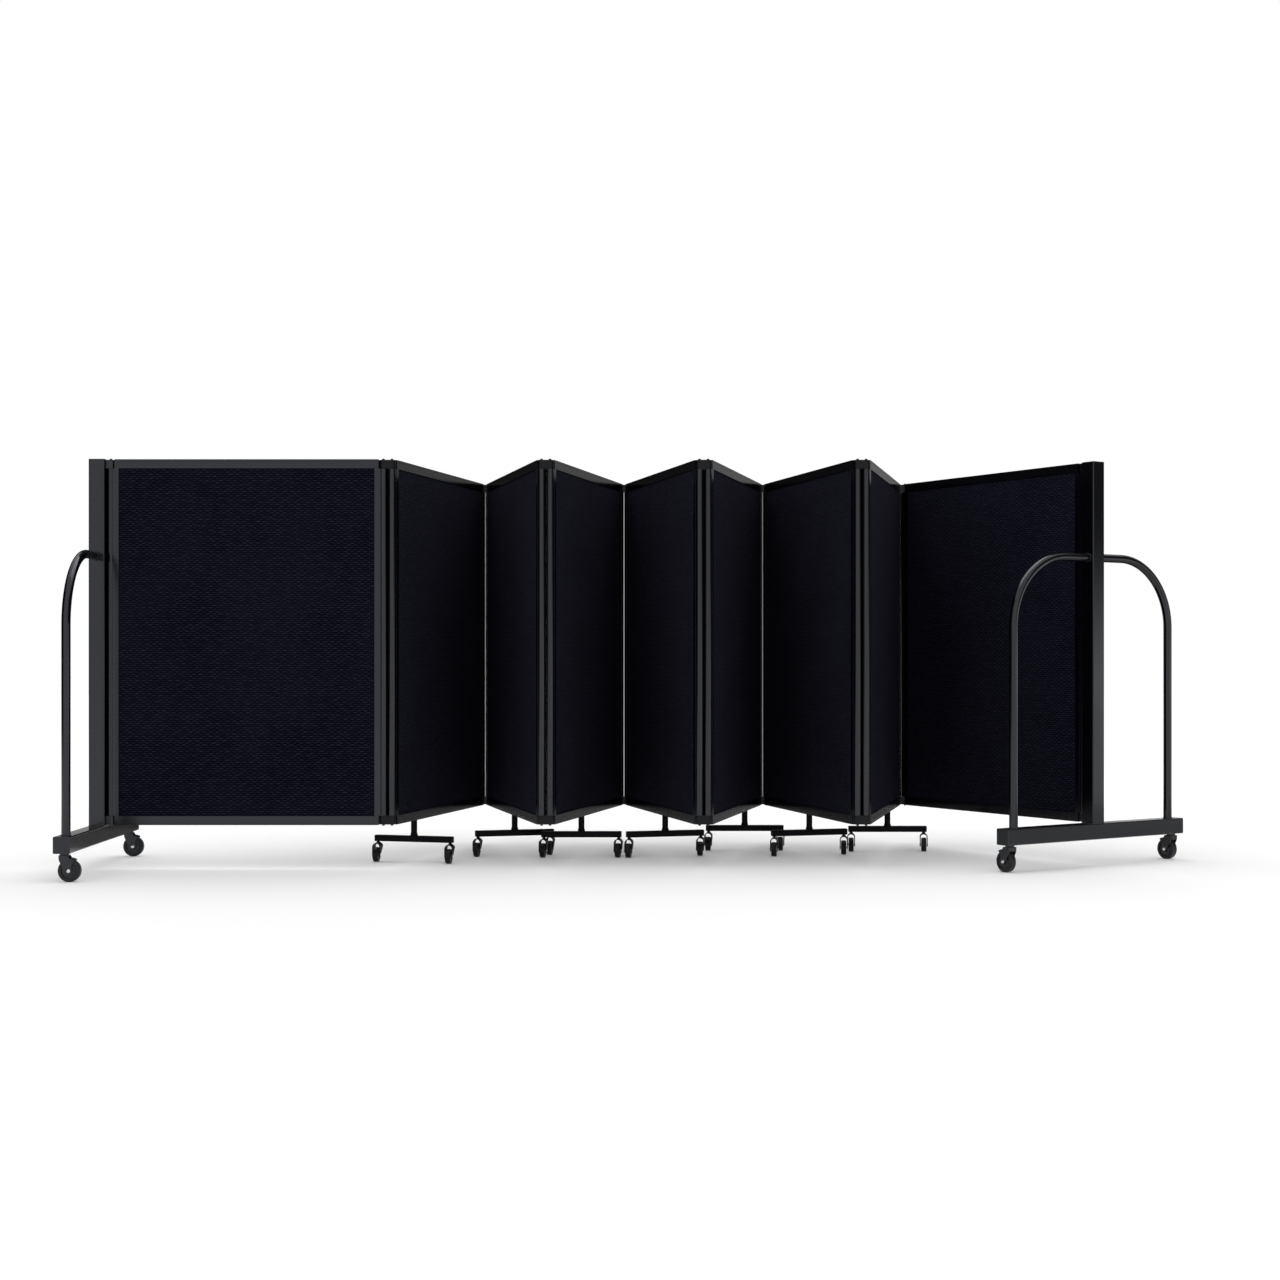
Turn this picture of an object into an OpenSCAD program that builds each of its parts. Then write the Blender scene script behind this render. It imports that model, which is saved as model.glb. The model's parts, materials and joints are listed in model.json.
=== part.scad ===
// Accordion folding partition: nine hinged fabric panels between two end frames, all on casters.
// Millimetres, +Z up, X along the row, Y away from the front. The origin lies on the floor at the
// centre of the bounding box, with the panels as they stand in a tight zigzag.

/* [Panels] */
// Distance between the two hinge axes of one panel
panel_span = 812.8; // [500:0.1:1200]
// Height of the panels' and posts' top edge above the floor
top_height = 1219.2; // [900:0.1:2000]
// Height of the panels' bottom edge above the floor
panel_clearance = 129.5; // [125:0.5:200]
// Thickness of a panel frame
panel_thickness = 23; // [16:0.5:24]
// Distance from a hinge axis to the visible edge of the fabric
stile_reach = 25.7; // [22:0.1:40]
// Height of the top and bottom rail
rail_height = 27; // [24:0.5:50]
// Radius of the round nose that holds the hinge pin
barrel_radius = 11.5; // [8:0.1:11.5]
// Distance from the hinge axis to the groove beside the nose
groove_offset = 7; // [5:0.1:9]
// Thickness of the fabric-covered board
board_thickness = 19; // [10:0.5:20]
// Depth by which the board's edge sits in its frame
board_insert = 6; // [3:0.5:7]
// Distance of the trim line on a rail from the rail's outer edge
trim_line_offset = 7; // [4:0.5:12]
// Width of the trim line
trim_line_width = 0.8; // [0.4:0.1:2]
// Depth of the trim line
trim_line_depth = 0.6; // [0.3:0.1:1]

/* [Fold as photographed] */
// Angle of panels 2 to 8 to the row
fold_angle = 75; // [0:1:75]
// Angle of the last panel to the row
last_panel_angle = -57.3; // [-60:0.1:60]

/* [Hinges] */
// Distance between the two pins of one hinge
hinge_pitch = 25.4; // [25:0.1:40]
// Height of a hinge cap
cap_height = 26; // [15:0.5:40]
// Distance of a cap's outer face inside the panel's edge
cap_inset = 1.5; // [0.5:0.1:4]
// Radius of a hinge pin
pin_radius = 4; // [3:0.1:6]
// Length of a pin inside its barrel
pin_engagement = 40; // [20:1:120]
// Height of a pin's domed end above its cap
pin_head = 4.5; // [2:0.1:8]
// Thickness of the strip that closes the slit of a front hinge
seal_thickness = 2; // [0.6:0.1:2]
// Thickness of the narrower strip in the slit of a rear hinge
rear_seal_thickness = 1.4; // [0.6:0.1:2]
// Thickness of the strip on a post behind the end hinge
end_seal_thickness = 0.9; // [0.6:0.1:1]
// Width of the strips in the front hinges and on the posts
seal_width = 12; // [6:0.5:16]
// Width of the strips in the rear hinges
rear_seal_width = 6; // [3:0.5:16]

/* [End frames] */
// Side of the square post and base beam
tube_side = 48; // [40:1:60]
// Wall of the square tubes
tube_wall = 2; // [1.5:0.1:4]
// Height of the base beam's underside above the floor
beam_clearance = 81; // [80:0.5:82]
// Length of the base beam
beam_length = 750; // [600:1:1000]
// Distance from the post's face to the axis of the end hinge
end_hinge_offset = 12.7; // [12.5:0.1:20]
// Diameter of the arched tube
arch_tube = 25.4; // [16:0.1:32]
// Wall of the arched tube
arch_wall = 2; // [1:0.1:4]
// Distance between the arch's two legs
arch_span = 660; // [450:1:680]
// Height of the arch's top centre line
arch_height = 930; // [600:1:1150]
// Bend radius of the arch
arch_bend = 210; // [60:1:215]
// Depth of a plastic plug in a tube's end
plug_depth = 12; // [6:1:30]
// Thickness of the plug's flange
plug_flange = 3; // [1:0.5:6]

/* [End casters] */
// Wheel diameter
end_wheel_diameter = 63.5; // [50:0.5:66]
// Wheel width
end_wheel_width = 22; // [12:0.5:26]
// Distance of the swivel axis from the beam's end
end_caster_inset = 30; // [22:1:60]
// Horizontal distance from the swivel axis to the axle
end_caster_trail = 15; // [8:0.5:25]
// Diameter of the swivel head
end_head_diameter = 27.5; // [20:0.5:40]

/* [T feet] */
// Side of the square cross bar
foot_bar_side = 19; // [16:0.5:22]
// Length of the cross bar
foot_bar_length = 254; // [220:1:260]
// Height of the cross bar's underside above the floor
foot_bar_clearance = 62; // [60:0.5:65]
// Diameter of the round stem
foot_stem_diameter = 19; // [14:0.5:22]
// Diameter of the stem's spigot in the bottom rail
foot_spigot_diameter = 12; // [8:0.5:14]
// Length of that spigot
foot_spigot_length = 17; // [10:0.5:18]
// Diameter of the flared collar on the bar
foot_collar_diameter = 23; // [20:0.5:28]
// Height of the flared collar
foot_collar_height = 8; // [4:0.5:15]

/* [T foot casters] */
// Distance between the two casters of a foot
foot_caster_pitch = 236; // [180:1:236]
// Wheel diameter
foot_wheel_diameter = 45; // [36:0.5:46]
// Wheel width
foot_wheel_width = 16.5; // [10:0.5:17]
// Horizontal distance from a caster's stem to its axle
foot_caster_trail = 21; // [12:0.5:22]
// Outer width of the fork
foot_fork_width = 25; // [23:0.5:25]
// Thickness of a fork's cheek
foot_cheek = 2.6; // [1.5:0.1:3]

/* [Clearances] */
// Gap between pieces that are fixed together
fixed_gap = 0.1; // [0.05:0.01:0.2]
// Radial gap between a pin and the bore that it turns in
running_gap = 0.08; // [0.04:0.01:0.1]
// Gap between faces that pass each other
passing_gap = 0.5; // [0.3:0.1:1]
// Gap between a face and the flat piece that turns on it
seat_gap = 0.3; // [0.2:0.1:0.6]

/* [Hidden] */
$fn = 64;
graphite = "#17171a";
cap_black = "#222224";
cloth = "#0e0e17";
wheel_black = "#1b1b1d";

panel_numbers = [1:9];
hinge_numbers = [1:8];
foot_numbers = [2:8];
sides = ["left", "right"];
ends = ["front", "rear"];
wheel_sides = ["a", "b"];

// Place of each foot along its panel, from the panel's front hinge axis, panels 2 to 8
foot_places = [181, 390, 337, 362, 564, 403, 531];
// Turn of each foot from square across its panel, panels 2 to 8
foot_turns = [0, 0, 15, 0, 15, 0, 15];
// Direction in which every small caster trails, from straight towards the front
foot_caster_heading = -8;

// Layout of the row, before it is centred
panel_height = top_height - panel_clearance;
fold_step = panel_span * cos(fold_angle) + hinge_pitch;
fold_depth = panel_span * sin(fold_angle);
pin_from_post_axis = tube_side / 2 + end_hinge_offset;
cap_radius = hinge_pitch / 2;

function is_even(k) = k % 2 == 0;
function is_front(k) = !is_even(k);
function direction(a) = [cos(a), sin(a)];
function raw_hinge(k) = [k * fold_step, is_even(k) ? fold_depth : 0];
function panel_angle(k) = k == 1 ? 0 : k == 9 ? last_panel_angle : is_even(k) ? fold_angle : -fold_angle;
function raw_panel_start(k) =
    k == 1 ? raw_hinge(1) - [cap_radius + panel_span, 0] : raw_hinge(k - 1) + [cap_radius, 0];
function raw_post(side) =
    side == "left"
        ? raw_panel_start(1) - pin_from_post_axis * direction(panel_angle(1))
        : raw_panel_start(9) + (panel_span + pin_from_post_axis) * direction(last_panel_angle);

// Bounding box of the row, seen from above
x_low = raw_post("left")[0] - tube_side / 2;
x_high = raw_post("right")[0] + beam_length / 2 * abs(sin(last_panel_angle))
    + tube_side / 2 * abs(cos(last_panel_angle));
y_low = -beam_length / 2;
y_high = fold_depth + cap_radius;
row_centre = [(x_low + x_high) / 2, (y_low + y_high) / 2];

// Places in the part's own frame
function hinge_place(k) = raw_hinge(k) - row_centre;
function panel_start(k) = raw_panel_start(k) - row_centre;
function post_place(side) = raw_post(side) - row_centre;
function end_turn(side) = side == "left" ? panel_angle(1) : last_panel_angle + 180;
function foot_along(k) = is_even(k) ? foot_places[k - 2] : panel_span - foot_places[k - 2];
function foot_place(k) = panel_start(k) + foot_along(k) * direction(panel_angle(k));
function foot_angle(k) = panel_angle(k) + (is_even(k) ? -90 : 90) + foot_turns[k - 2];

// Derived sizes of the pieces
notch_reach = cap_radius + passing_gap;
notch_height = cap_inset + cap_height + passing_gap;
channel_depth = board_insert + fixed_gap;
channel_width = board_thickness + 2 * fixed_gap;
board_length = panel_span - 2 * stile_reach + 2 * board_insert;
board_height = panel_height - 2 * rail_height + 2 * board_insert;
rail_length = panel_span - 2 * stile_reach - 2 * fixed_gap;
spigot_bore_depth = foot_spigot_length + passing_gap;
pin_length = pin_engagement + cap_height;
top_cap_z = top_height - cap_inset - cap_height;
bottom_cap_z = panel_clearance + cap_inset;
cap_space = top_cap_z - bottom_cap_z - cap_height;
beam_top = beam_clearance + tube_side;
beam_middle = beam_clearance + tube_side / 2;
beam_end = beam_length / 2 - plug_flange - fixed_gap;
post_length = top_height - beam_top - plug_flange - 2 * fixed_gap;
arch_leg = arch_height - arch_bend - beam_top - fixed_gap;
caster_arm = beam_length / 2 - end_caster_inset;

// Sizes of the end casters
end_stem_radius = 5.5;
end_bush_radius = 9;
end_stem_length = 22;
end_axle_radius = 4;
end_axle_overhang = 0.5;
end_head_height = 9;
end_cheek = 2.5;
end_eye_wall = 5.5;
end_hood_wall = 2.5;
end_hood_gap = 1.5;
end_hood_step = 0.2;
end_hood_window = 16;
end_shoulder_reach = 9;
end_shoulder_drop = 13;
end_throat = 3;
hood_start_angle = 60;
hood_sweep = 48;
end_wheel_radius = end_wheel_diameter / 2;
end_fork_inner = end_wheel_width + 2;
end_fork_outer = end_fork_inner + 2 * end_cheek;
end_hood_inner = end_wheel_radius + end_hood_gap;
end_hood_width = end_fork_outer - 2 * end_hood_step;
end_head_radius = end_head_diameter / 2;
end_head_top = beam_clearance - seat_gap;
end_head_low = end_head_top - end_head_height;
end_eye_radius = end_axle_radius + end_eye_wall;

// Sizes of the T feet's casters
foot_neck_radius = 4.5;
foot_socket_depth = 12;
foot_axle_radius = 3;
foot_axle_overhang = 0.5;
foot_eye_wall = 4;
foot_neck_length = 4;
foot_crown = 2.5;
foot_heel = 10;
foot_heel_bulge = 2;
foot_shoulder_inset = 1;
foot_shoulder_drop = 8;
foot_wheel_radius = foot_wheel_diameter / 2;
foot_fork_top = foot_bar_clearance - foot_neck_length;
foot_fork_inner = foot_fork_width - 2 * foot_cheek;
foot_arch_centre = foot_fork_top - foot_crown - foot_fork_inner / 2;
foot_eye_radius = foot_axle_radius + foot_eye_wall;
foot_bar_top = foot_bar_clearance + foot_bar_side;

// Step of a cheek's edge inside its round eye and its head
eye_tuck = 1;

// Proportions of a wheel
hub_wall = 4;
shoulder_share = 1 / 5;
dish_share = 1 / 8;
tread_share = 1 / 3;

// A square tube standing on the XY plane
module square_tube(side, wall, length) {
    linear_extrude(height = length)
        difference() {
            square(side, center = true);
            square(side - 2 * wall, center = true);
        }
}

// A plug that closes the upper end of a square tube whose end is at z = 0
module tube_plug(side, wall) {
    translate([0, 0, fixed_gap])
        linear_extrude(height = plug_flange)
            square(side, center = true);
    translate([0, 0, -plug_depth])
        linear_extrude(height = plug_depth + fixed_gap)
            square(side - 2 * wall - 2 * fixed_gap, center = true);
}

// A hinge pin whose cap's outer face is at z = 0, with its domed end upwards
module hinge_pin() {
    dome_height = pin_radius / 2;
    dome_radius = (pin_radius * pin_radius + dome_height * dome_height) / (2 * dome_height);
    dome_base = pin_head - dome_height;
    translate([0, 0, -pin_length])
        cylinder(r = pin_radius, h = pin_length + dome_base);
    translate([0, 0, dome_base])
        rotate_extrude()
            intersection() {
                translate([0, dome_height - dome_radius])
                    circle(r = dome_radius);
                square([pin_radius, pin_radius]);
            }
}

// Places children upright at one end of a panel; the far end is turned about
module both_stiles() {
    children();
    translate([panel_span, 0, 0])
        rotate([0, 0, 180])
            children();
}

// Puts children above and, upside down, below the middle of a panel's height
module top_and_bottom() {
    translate([0, 0, panel_height / 2])
        children();
    translate([0, 0, -panel_height / 2])
        rotate([180, 0, 0])
            children();
}

module at_panel(k) {
    translate([panel_start(k)[0], panel_start(k)[1], 0])
        rotate([0, 0, panel_angle(k)])
            children();
}

module at_foot(k) {
    translate([foot_place(k)[0], foot_place(k)[1], 0])
        rotate([0, 0, foot_angle(k)])
            children();
}

// The end frame's own axes: the post at the centre, +X towards the panels, Y along the beam
module at_end(side) {
    translate([post_place(side)[0], post_place(side)[1], 0])
        rotate([0, 0, end_turn(side)])
            children();
}

module at_end_caster(side, end) {
    at_end(side)
        translate([0, (end == "front") == (side == "left") ? -caster_arm : caster_arm, 0])
            children();
}

// One small caster's axes: its stem on Z, its wheel behind it on +Y
module at_foot_caster(k, wheel) {
    at_foot(k)
        translate([(wheel == "a" ? -1 : 1) * foot_caster_pitch / 2, 0, 0])
            rotate([0, 0, 180 + foot_caster_heading - foot_angle(k)])
                children();
}

// Outer outline of a stile: a round nose on the hinge axis and a flat body beside a groove
module stile_outline() {
    difference() {
        union() {
            circle(r = barrel_radius);
            translate([groove_offset, -panel_thickness / 2])
                square([stile_reach - groove_offset, panel_thickness]);
        }
        circle(r = pin_radius + running_gap);
    }
}

module stile() {
    difference() {
        translate([0, 0, panel_clearance])
            linear_extrude(height = panel_height)
                stile_outline();
        translate([0, 0, panel_clearance + panel_height / 2])
            top_and_bottom()
                translate([-2 * notch_reach, -panel_thickness, -notch_height])
                    cube([3 * notch_reach, 2 * panel_thickness, 2 * notch_height]);
        translate([
            stile_reach - channel_depth,
            -channel_width / 2,
            panel_clearance + rail_height - channel_depth
        ])
            cube([2 * channel_depth, channel_width, board_height + 2 * fixed_gap]);
    }
}

// A rail with its outer edge at z = 0 and its body below
module rail() {
    difference() {
        translate([-rail_length / 2, -panel_thickness / 2, -rail_height])
            cube([rail_length, panel_thickness, rail_height]);
        translate([-rail_length, -channel_width / 2, -rail_height - channel_depth])
            cube([2 * rail_length, channel_width, 2 * channel_depth]);
        for (face = [-1, 1])
            translate([-rail_length, face * panel_thickness / 2 - trim_line_depth, -trim_line_offset])
                cube([2 * rail_length, 2 * trim_line_depth, trim_line_width]);
    }
}

module panel_frame(k) {
    color(graphite)
        at_panel(k) {
            both_stiles()
                stile();
            difference() {
                translate([panel_span / 2, 0, panel_clearance + panel_height / 2])
                    top_and_bottom()
                        rail();
                if (k > 1 && k < 9)
                    translate([foot_along(k), 0, 0])
                        cylinder(
                            r = foot_spigot_diameter / 2 + running_gap,
                            h = panel_clearance + spigot_bore_depth
                        );
            }
        }
}

module fabric_board(k) {
    color(cloth)
        at_panel(k)
            translate([
                stile_reach - board_insert,
                -board_thickness / 2,
                panel_clearance + rail_height - board_insert
            ])
                cube([board_length, board_thickness, board_height]);
}

// A cap between two pins, or between a pin and a post's face, with its pin holes
module cap_plate(pin_offsets, body_low, body_high) {
    linear_extrude(height = cap_height)
        difference() {
            union() {
                translate([body_low, -cap_radius])
                    square([body_high - body_low, 2 * cap_radius]);
                for (x = pin_offsets)
                    translate([x, 0])
                        circle(r = cap_radius);
            }
            for (x = pin_offsets)
                translate([x, 0])
                    circle(r = pin_radius + fixed_gap / 2);
        }
}

// The top and bottom pins of one hinge axis
module pin_pair() {
    translate([0, 0, panel_clearance + panel_height / 2])
        top_and_bottom()
            translate([0, 0, -cap_inset])
                hinge_pin();
}

// An upright strip between the bottom caps and the top caps, centred on Z
module seal_strip(thickness, width) {
    translate([-thickness / 2, -width / 2, bottom_cap_z + cap_height + fixed_gap])
        cube([thickness, width, cap_space - 2 * fixed_gap]);
}

module hinge_link(k) {
    color(cap_black)
        translate([hinge_place(k)[0], hinge_place(k)[1], 0]) {
            for (z = [bottom_cap_z, top_cap_z])
                translate([0, 0, z])
                    cap_plate([-cap_radius, cap_radius], -cap_radius, cap_radius);
            for (x = [-cap_radius, cap_radius])
                translate([x, 0, 0])
                    pin_pair();
            if (is_front(k))
                seal_strip(seal_thickness, seal_width);
            else
                seal_strip(rear_seal_thickness, rear_seal_width);
        }
}

module end_post(side) {
    color(graphite)
        at_end(side) {
            difference() {
                translate([0, 0, beam_top + fixed_gap])
                    square_tube(tube_side, tube_wall, post_length);
                translate([0, 0, arch_height])
                    rotate([90, 0, 0])
                        cylinder(r = arch_tube / 2 + fixed_gap, h = 2 * tube_side, center = true);
            }
            translate([0, 0, beam_top + fixed_gap + post_length])
                tube_plug(tube_side, tube_wall);
            translate([tube_side / 2 + fixed_gap + end_seal_thickness / 2, 0, 0])
                seal_strip(end_seal_thickness, seal_width);
            translate([pin_from_post_axis, 0, 0]) {
                for (z = [bottom_cap_z, top_cap_z])
                    translate([0, 0, z])
                        cap_plate([0], fixed_gap - end_hinge_offset, 0);
                pin_pair();
            }
        }
}

// A quarter bend in the YZ plane from a leg at y = bend up to the level top
module arch_corner(tube_radius) {
    translate([0, arch_span / 2 - arch_bend, arch_height - arch_bend])
        rotate([90, 0, 90])
            rotate_extrude(angle = 90)
                translate([arch_bend, 0])
                    circle(r = tube_radius);
}

module arch_path(tube_radius, extra) {
    for (face = [0, 1])
        mirror([0, face, 0]) {
            arch_corner(tube_radius);
            translate([0, arch_span / 2, beam_top + fixed_gap - extra])
                cylinder(r = tube_radius, h = arch_leg + extra);
        }
    translate([0, 0, arch_height])
        rotate([90, 0, 0])
            cylinder(r = tube_radius, h = arch_span - 2 * arch_bend, center = true);
}

module base_frame(side) {
    stem_hole = end_stem_radius + running_gap;
    color(graphite)
        at_end(side) {
            difference() {
                arch_path(arch_tube / 2, 0);
                arch_path(arch_tube / 2 - arch_wall, 1);
            }
            difference() {
                translate([0, beam_end, beam_middle])
                    rotate([90, 0, 0])
                        square_tube(tube_side, tube_wall, 2 * beam_end);
                for (face = [-1, 1])
                    translate([0, face * caster_arm, 0])
                        cylinder(r = stem_hole, h = beam_clearance + 2 * tube_wall);
            }
            for (face = [-1, 1]) {
                translate([0, face * beam_end, beam_middle])
                    rotate([-90 * face, 0, 0])
                        tube_plug(tube_side, tube_wall);
                translate([0, face * caster_arm, beam_clearance + tube_wall + fixed_gap])
                    difference() {
                        cylinder(r = end_bush_radius, h = end_stem_length);
                        cylinder(r = stem_hole, h = 3 * end_stem_length, center = true);
                    }
            }
        }
}

// Side view of a fork's cheek: from the swivel head down to a round eye on the axle
module end_cheek_outline() {
    translate([end_caster_trail, end_wheel_radius])
        circle(r = end_eye_radius);
    polygon([
        [end_caster_trail - end_eye_radius + eye_tuck, end_wheel_radius],
        [end_caster_trail + end_eye_radius - eye_tuck, end_wheel_radius],
        [end_caster_trail + end_shoulder_reach, end_wheel_radius + end_hood_inner - end_shoulder_drop],
        [end_head_radius - eye_tuck, end_head_top - end_head_height / 2],
        [-end_head_radius + eye_tuck, end_head_top - end_head_height / 2],
        [-end_head_radius + end_throat, end_wheel_radius + end_hood_inner / 2]
    ]);
}

// The round hood over a wheel, which widens the cheeks and joins them; it is a little narrower
module end_hood() {
    translate([end_caster_trail, 0, end_wheel_radius])
        rotate([90, 0, 0])
            rotate([0, 0, hood_start_angle])
                rotate_extrude(angle = hood_sweep)
                    translate([end_hood_window, -end_hood_width / 2])
                        square([end_hood_inner + end_hood_wall - end_hood_window, end_hood_width]);
}

module caster_fork(side, end) {
    color(cap_black)
        at_end_caster(side, end) {
            difference() {
                union() {
                    translate([0, 0, end_head_low])
                        cylinder(r = end_head_radius, h = end_head_height);
                    rotate([90, 0, 0])
                        linear_extrude(height = end_fork_outer, center = true)
                            end_cheek_outline();
                    end_hood();
                }
                translate([end_caster_trail, 0, end_wheel_radius])
                    rotate([90, 0, 0]) {
                        cylinder(r = end_hood_inner, h = end_fork_inner, center = true);
                        cylinder(r = end_axle_radius + fixed_gap / 2, h = 2 * end_fork_outer, center = true);
                    }
            }
            translate([0, 0, end_head_top + fixed_gap])
                cylinder(r = end_stem_radius, h = end_stem_length);
            translate([end_caster_trail, 0, end_wheel_radius])
                rotate([90, 0, 0])
                    cylinder(r = end_axle_radius, h = end_fork_outer + 2 * end_axle_overhang, center = true);
        }
}

// A wheel on the Y axis: a tread with rounded shoulders, dished sides and a bore
module wheel(diameter, width, bore) {
    shoulder = width * shoulder_share;
    hub = bore + hub_wall;
    dish = width * dish_share;
    rim = diameter / 2 - width * tread_share;
    rotate([90, 0, 0])
        rotate_extrude()
            difference() {
                union() {
                    translate([bore, -width / 2])
                        square([diameter / 2 - bore - shoulder, width]);
                    translate([bore, -width / 2 + shoulder])
                        square([diameter / 2 - bore, width - 2 * shoulder]);
                    for (face = [-1, 1])
                        translate([diameter / 2 - shoulder, face * (width / 2 - shoulder)])
                            circle(r = shoulder);
                }
                for (face = [-1, 1])
                    translate([(hub + rim) / 2, face * width / 2])
                        square([rim - hub, 2 * dish], center = true);
            }
}

module caster_wheel(side, end) {
    color(wheel_black)
        at_end_caster(side, end)
            translate([end_caster_trail, 0, end_wheel_radius])
                wheel(end_wheel_diameter, end_wheel_width, end_axle_radius + running_gap);
}

// Side view of a small fork, with the wheel's axle towards +X
module foot_fork_outline() {
    translate([foot_caster_trail, foot_wheel_radius])
        circle(r = foot_eye_radius);
    polygon([
        [foot_caster_trail - foot_eye_radius + eye_tuck, foot_wheel_radius],
        [foot_caster_trail + foot_eye_radius - eye_tuck, foot_wheel_radius],
        [foot_caster_trail + foot_eye_radius - foot_shoulder_inset, foot_fork_top - foot_shoulder_drop],
        [foot_caster_trail, foot_fork_top],
        [-foot_heel, foot_fork_top],
        [-foot_heel - foot_heel_bulge, foot_fork_top - foot_shoulder_drop / 2],
        [-foot_heel, foot_fork_top - foot_shoulder_drop - foot_neck_length]
    ]);
}

// The tunnel of the fork: straight walls under a round arch
module foot_fork_tunnel() {
    translate([-foot_fork_inner / 2, 0])
        square([foot_fork_inner, foot_arch_centre]);
    translate([0, foot_arch_centre])
        circle(r = foot_fork_inner / 2);
}

module foot_caster_fork() {
    difference() {
        rotate([90, 0, 90])
            linear_extrude(height = foot_fork_width, center = true)
                foot_fork_outline();
        rotate([90, 0, 0])
            linear_extrude(height = 6 * foot_caster_trail, center = true)
                foot_fork_tunnel();
        translate([0, foot_caster_trail, foot_wheel_radius])
            rotate([0, 90, 0])
                cylinder(r = foot_axle_radius + fixed_gap / 2, h = 2 * foot_fork_width, center = true);
    }
    translate([0, 0, foot_fork_top + fixed_gap])
        cylinder(r = foot_neck_radius, h = foot_neck_length + foot_socket_depth - passing_gap);
    translate([0, foot_caster_trail, foot_wheel_radius])
        rotate([0, 90, 0])
            cylinder(r = foot_axle_radius, h = foot_fork_width + 2 * foot_axle_overhang, center = true);
}

module foot_bar() {
    difference() {
        translate([-foot_bar_length / 2, -foot_bar_side / 2, foot_bar_clearance])
            cube([foot_bar_length, foot_bar_side, foot_bar_side]);
        for (face = [-1, 1])
            translate([face * foot_caster_pitch / 2, 0, 0])
                cylinder(r = foot_neck_radius + fixed_gap, h = foot_bar_clearance + foot_socket_depth);
    }
}

module foot_stem() {
    shoulder = panel_clearance - seat_gap;
    collar_low = foot_bar_top + fixed_gap;
    translate([0, 0, collar_low])
        rotate_extrude()
            polygon([
                [0, 0],
                [foot_collar_diameter / 2, 0],
                [foot_collar_diameter / 2, foot_collar_height / 3],
                [foot_stem_diameter / 2, foot_collar_height],
                [foot_stem_diameter / 2, shoulder - collar_low],
                [foot_spigot_diameter / 2, shoulder - collar_low],
                [foot_spigot_diameter / 2, shoulder - collar_low + foot_spigot_length],
                [0, shoulder - collar_low + foot_spigot_length]
            ]);
}

module t_foot(k) {
    color(graphite) {
        at_foot(k) {
            foot_bar();
            foot_stem();
        }
        for (w = wheel_sides)
            at_foot_caster(k, w)
                foot_caster_fork();
    }
}

module foot_wheel(k, w) {
    color(wheel_black)
        at_foot_caster(k, w)
            translate([0, foot_caster_trail, foot_wheel_radius])
                rotate([0, 0, 90])
                    wheel(foot_wheel_diameter, foot_wheel_width, foot_axle_radius + running_gap);
}

for (k = panel_numbers)
    panel_frame(k);
for (k = panel_numbers)
    fabric_board(k);
for (k = hinge_numbers)
    hinge_link(k);
for (k = foot_numbers)
    t_foot(k);
for (k = foot_numbers, w = wheel_sides)
    foot_wheel(k, w);
for (s = sides)
    end_post(s);
for (s = sides)
    base_frame(s);
for (s = sides, e = ends)
    caster_fork(s, e);
for (s = sides, e = ends)
    caster_wheel(s, e);
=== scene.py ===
"""Dresses the accordion folding partition: its finishes, its pieces and the studio round it."""

import json
import logging
import math
from collections.abc import Iterator
from dataclasses import dataclass
from enum import Enum
from typing import ClassVar, Self

import bmesh
import bpy
from mathutils import Matrix, Vector

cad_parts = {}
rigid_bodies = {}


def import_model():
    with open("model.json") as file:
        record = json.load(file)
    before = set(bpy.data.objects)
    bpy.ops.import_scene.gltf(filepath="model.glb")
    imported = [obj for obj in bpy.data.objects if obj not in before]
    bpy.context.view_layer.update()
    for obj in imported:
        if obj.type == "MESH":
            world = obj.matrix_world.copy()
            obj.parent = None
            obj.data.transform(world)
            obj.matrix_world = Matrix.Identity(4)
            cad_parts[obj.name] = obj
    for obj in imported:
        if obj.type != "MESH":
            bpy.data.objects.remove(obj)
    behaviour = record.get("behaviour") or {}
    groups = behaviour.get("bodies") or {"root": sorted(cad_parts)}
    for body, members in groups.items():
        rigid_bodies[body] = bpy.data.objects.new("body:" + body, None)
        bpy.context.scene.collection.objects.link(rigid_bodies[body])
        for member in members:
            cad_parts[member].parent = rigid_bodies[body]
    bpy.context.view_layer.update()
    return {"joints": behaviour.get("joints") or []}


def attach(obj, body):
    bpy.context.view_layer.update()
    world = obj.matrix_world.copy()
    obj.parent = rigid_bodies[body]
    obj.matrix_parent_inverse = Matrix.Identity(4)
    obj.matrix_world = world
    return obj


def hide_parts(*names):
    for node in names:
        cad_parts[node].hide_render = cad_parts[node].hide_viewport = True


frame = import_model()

LOG = logging.getLogger("partition")

Colour = tuple[float, float, float]
Place = tuple[float, float, float]
Bend = tuple[float, float]
Outline = list[tuple[float, float]]
Socket = bpy.types.NodeSocket
Points = list[bmesh.types.BMVert]

PANELS = range(1, 10)
HINGES = range(1, 9)
FEET = range(2, 9)
SIDES = ("left", "right")
ENDS = ("front", "rear")

SHARP_ANGLE = math.radians(38.0)
BEVEL_ANGLE = math.radians(35.0)
BEVEL_PROFILE = 0.6
BEVEL_SEGMENTS = 2
POLE_RADIUS = 1e-7
MERGE_DISTANCE = 1e-6
BEND_STEPS = 10
QUARTER_TURN = math.pi / 2
FLOOR_CARD_HEIGHT = 0.002
WHITE = (1.0, 1.0, 1.0, 1.0)

# Sockets that share their name with one of another kind, by their number.
MIX_FIRST, MIX_SECOND, MIX_RESULT = 6, 7, 2
RANDOM_LEAST, RANDOM_MOST, RANDOM_RESULT = 2, 3, 1


# --------------------------------------------------------------------------------------------
# Node trees
# --------------------------------------------------------------------------------------------

SOCKET_KINDS = {float: "NodeSocketFloat", int: "NodeSocketInt", tuple: "NodeSocketColor"}


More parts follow.
